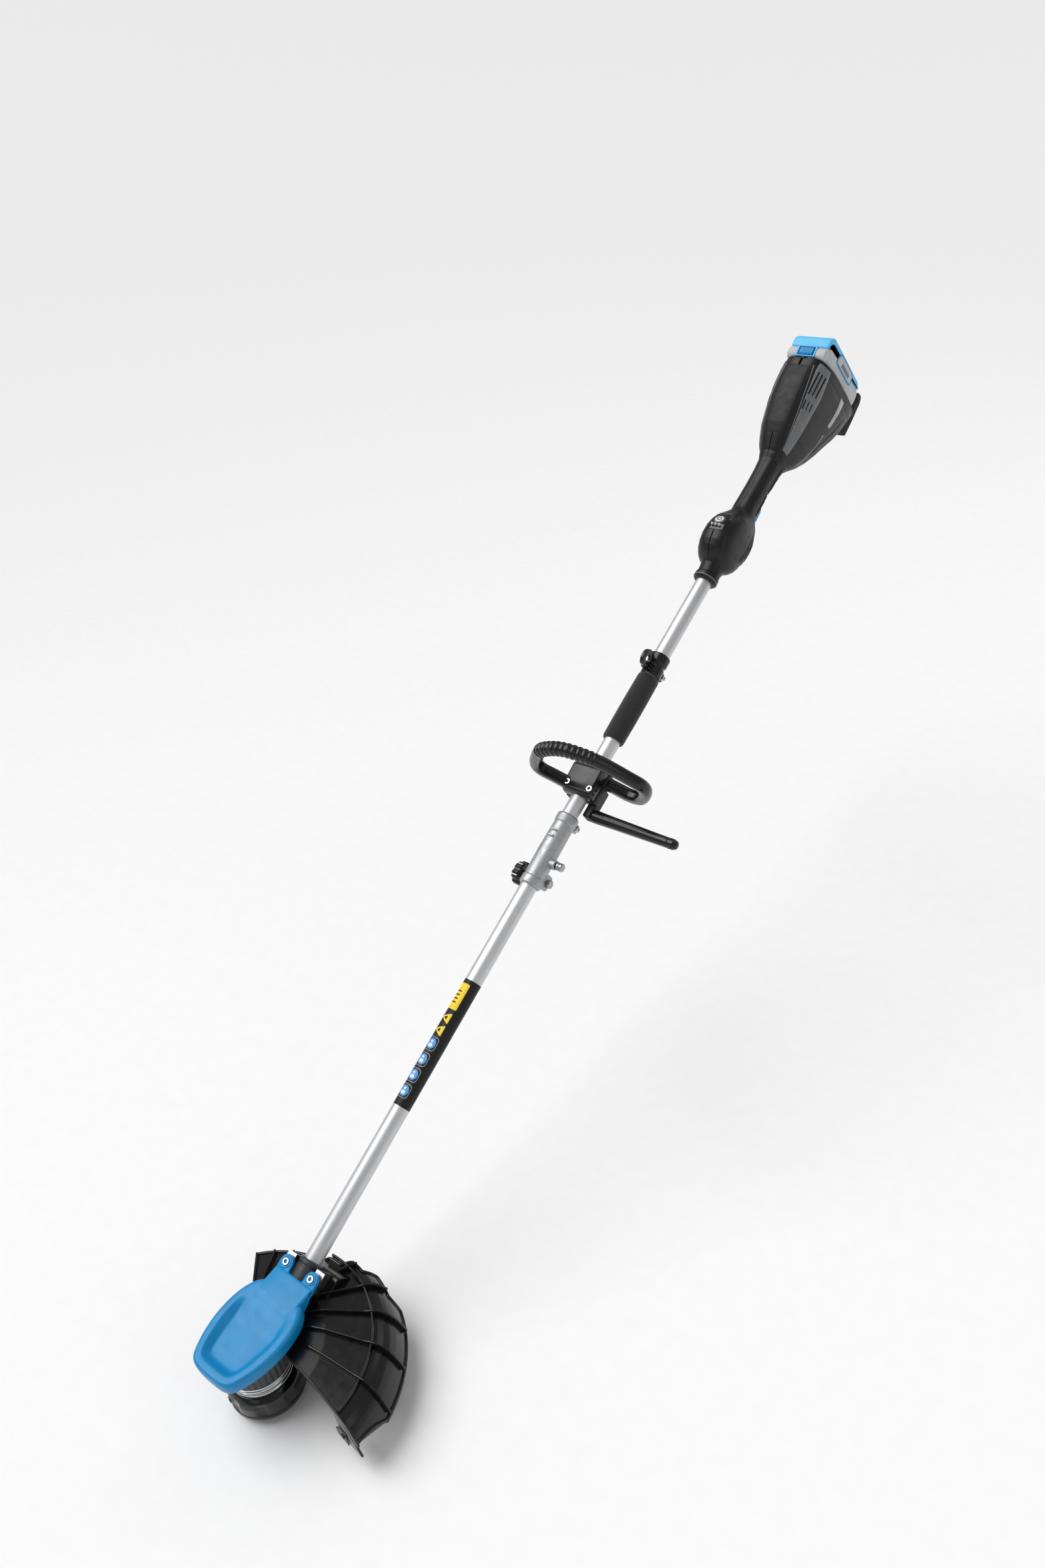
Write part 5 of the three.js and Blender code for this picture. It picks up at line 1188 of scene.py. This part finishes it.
class TrimmerLook(bpy.types.PropertyGroup):
    """Colours and studio settings that a user would change."""
    plastic: bpy.props.FloatVectorProperty(
        name="Plastic", description="Black moulded plastic", subtype="COLOR", size=3, min=0, max=1,
        default=(0.0085, 0.0087, 0.0092))
    accent: bpy.props.FloatVectorProperty(
        name="Accent", description="Cover, trigger and latch", subtype="COLOR", size=3, min=0, max=1,
        default=(0.001, 0.235, 0.53))
    battery: bpy.props.FloatVectorProperty(
        name="Battery lid", description="Lid of the battery pack", subtype="COLOR", size=3, min=0, max=1,
        default=(0.12, 0.53, 0.87))
    key_power: bpy.props.FloatProperty(
        name="Key light", description="Power of the large overhead light", unit="POWER", default=9.0, min=0)
    sun_power: bpy.props.FloatProperty(
        name="Sky light", description="Strength of the broad light from above and behind the left side",
        default=2.1, min=0)
    lens: bpy.props.FloatProperty(
        name="Lens", description="Focal length of the camera", unit="CAMERA", default=30.07, min=10, max=200)


class TRIMMER_OT_finishes(bpy.types.Operator):
    """Make the plastics, metals, rubber and foam, and give the carried-over solids theirs"""
    bl_idname = "trimmer.finishes"
    bl_label = "Finishes"

    def execute(self, context):
        finishes()
        for node, thing in frame["nodes"].items():
            material = FINISHES["blade" if node == "cutter_blade" else SLOT_FINISH[SLOT_OF[node]]]
            for slot in thing.material_slots:
                slot.material = material
        return {"FINISHED"}


def simple_operator(key, label, text, build):
    """An operator class that calls one or more builders."""
    def execute(self, context):
        for make in build:
            make()
        return {"FINISHED"}
    return type(f"TRIMMER_OT_{key}", (bpy.types.Operator,), {
        "__doc__": text, "bl_idname": f"trimmer.{key}", "bl_label": label, "execute": execute})


STEPS = (
    ("head", "Line head", "Turn the line head, bump button, polished ring and eyelets", (head_parts,)),
    ("motor", "Motor", "Turn the motor cup and its neck", (motor_parts,)),
    ("cover", "Cover", "Build the dished cover, its ears and their bolts", (cover_parts,)),
    ("guard", "Guard", "Build the ribbed guard", (guard_parts,)),
    ("tubes", "Tubes", "Turn both tubes and wrap the label round the lower one", (tube_parts, label_parts)),
    ("coupler", "Coupler", "Build the coupler, lock plunger and clamp knob", (coupler_parts,)),
    ("handle", "Handle", "Build the loop handle, its clamp and the barrier bar", (handle_parts,)),
    ("foam", "Foam sleeve", "Turn the foam sleeve", (foam_part,)),
    ("strap", "Harness eye", "Build the harness eye", (strap_parts,)),
    ("housing", "Rear housing", "Build the rear housing, its panels and controls",
    (housing_parts, trim_parts, control_parts)),
    ("battery", "Battery", "Build the battery pack", (battery_parts,)),
)


class TRIMMER_OT_stage(bpy.types.Operator):
    """Lay the floor, light it softly and set the camera"""
    bl_idname = "trimmer.stage"
    bl_label = "Studio"

    def execute(self, context):
        look, scene = context.scene.trimmer_look, context.scene
        mesh = bpy.data.meshes.new("studio_floor")
        reach = 400.0
        mesh.from_pydata([(-reach, -reach, -0.0005), (reach, -reach, -0.0005), (reach, reach, -0.0005),
                          (-reach, reach, -0.0005)], [], [(0, 1, 2, 3)])
        mesh.materials.append(FINISHES["floor"])
        floor = bpy.data.objects.new("studio_floor", mesh)
        scene.collection.objects.link(floor)

        world = bpy.data.worlds.new("studio")
        scene.world = world
        world.use_nodes = True
        world.node_tree.nodes["Background"].inputs["Color"].default_value = (1, 1, 1, 1)
        world.node_tree.nodes["Background"].inputs["Strength"].default_value = 0.36
        sun = bpy.data.lights.new("sky", "SUN")
        sun.energy, sun.angle = look.sun_power, np.radians(50)
        sky = bpy.data.objects.new("sky", sun)
        sky.matrix_world = to_rotation((-0.75, -0.35, 1.6))
        scene.collection.objects.link(sky)
        for name, place, size, share in (("key", (-1.6, -0.6, 2.9), 1.8, 1.0),
            ("fill", (2.6, 0.4, 1.9), 1.6, 0.55),
                                         ("back", (0.4, 3.2, 2.4), 1.6, 0.6),
                                         ("front", (0.8, -2.6, 1.0), 1.2, 0.3)):
            data = bpy.data.lights.new(name, "AREA")
            data.energy, data.size = look.key_power * share, size
            lamp = bpy.data.objects.new(name, data)
            scene.collection.objects.link(lamp)
            target = np.array([0.0, 0.7, 0.4])
            away = np.array(place) - target
            lamp.matrix_world = Matrix.Translation(place) @ to_rotation(away)
        camera_data = bpy.data.cameras.new("studio_camera")
        camera_data.lens, camera_data.sensor_fit = look.lens, "VERTICAL"
        camera_data.sensor_height = 36.0
        camera = bpy.data.objects.new("studio_camera", camera_data)
        scene.collection.objects.link(camera)
        right, up, back = (0.7607, 0.6333, -0.1424), (-0.2684, 0.5066, 0.8193), (0.591, -0.585, 0.5554)
        turn = Matrix((right, up, back)).transposed().to_4x4()
        camera.matrix_world = Matrix.Translation((1.1008, -0.4123, 1.6286)) @ turn
        scene.camera = camera
        scene.view_settings.view_transform = "Standard"
        return {"FINISHED"}


def to_rotation(away):
    """The turn that points a lamp's -Z from where it stands to its target."""
    return Vector(away).to_track_quat("Z", "Y").to_matrix().to_4x4()


STEP_OPERATORS = [simple_operator(*step) for step in STEPS]
ORDER = ["finishes"] + [step[0] for step in STEPS] + ["stage"]


class TRIMMER_PT_panel(bpy.types.Panel):
    """Lists the pieces, in the order in which they are built"""
    bl_label = "Battery String Trimmer"
    bl_idname = "TRIMMER_PT_panel"
    bl_space_type = "VIEW_3D"
    bl_region_type = "UI"
    bl_category = "Trimmer"

    def draw(self, context):
        look = context.scene.trimmer_look
        for name in ("plastic", "accent", "battery", "key_power", "sun_power", "lens"):
            self.layout.prop(look, name)
        for name in ORDER:
            self.layout.operator(f"trimmer.{name}")


CLASSES = [TrimmerLook, TRIMMER_OT_finishes, *STEP_OPERATORS, TRIMMER_OT_stage, TRIMMER_PT_panel]


def register():
    for item in CLASSES:
        bpy.utils.register_class(item)
    bpy.types.Scene.trimmer_look = bpy.props.PointerProperty(type=TrimmerLook)


def unregister():
    del bpy.types.Scene.trimmer_look
    for item in reversed(CLASSES):
        bpy.utils.unregister_class(item)


def main():
    register()
    for name in ORDER:
        getattr(bpy.ops.trimmer, name)()


if __name__ == "__main__":
    main()
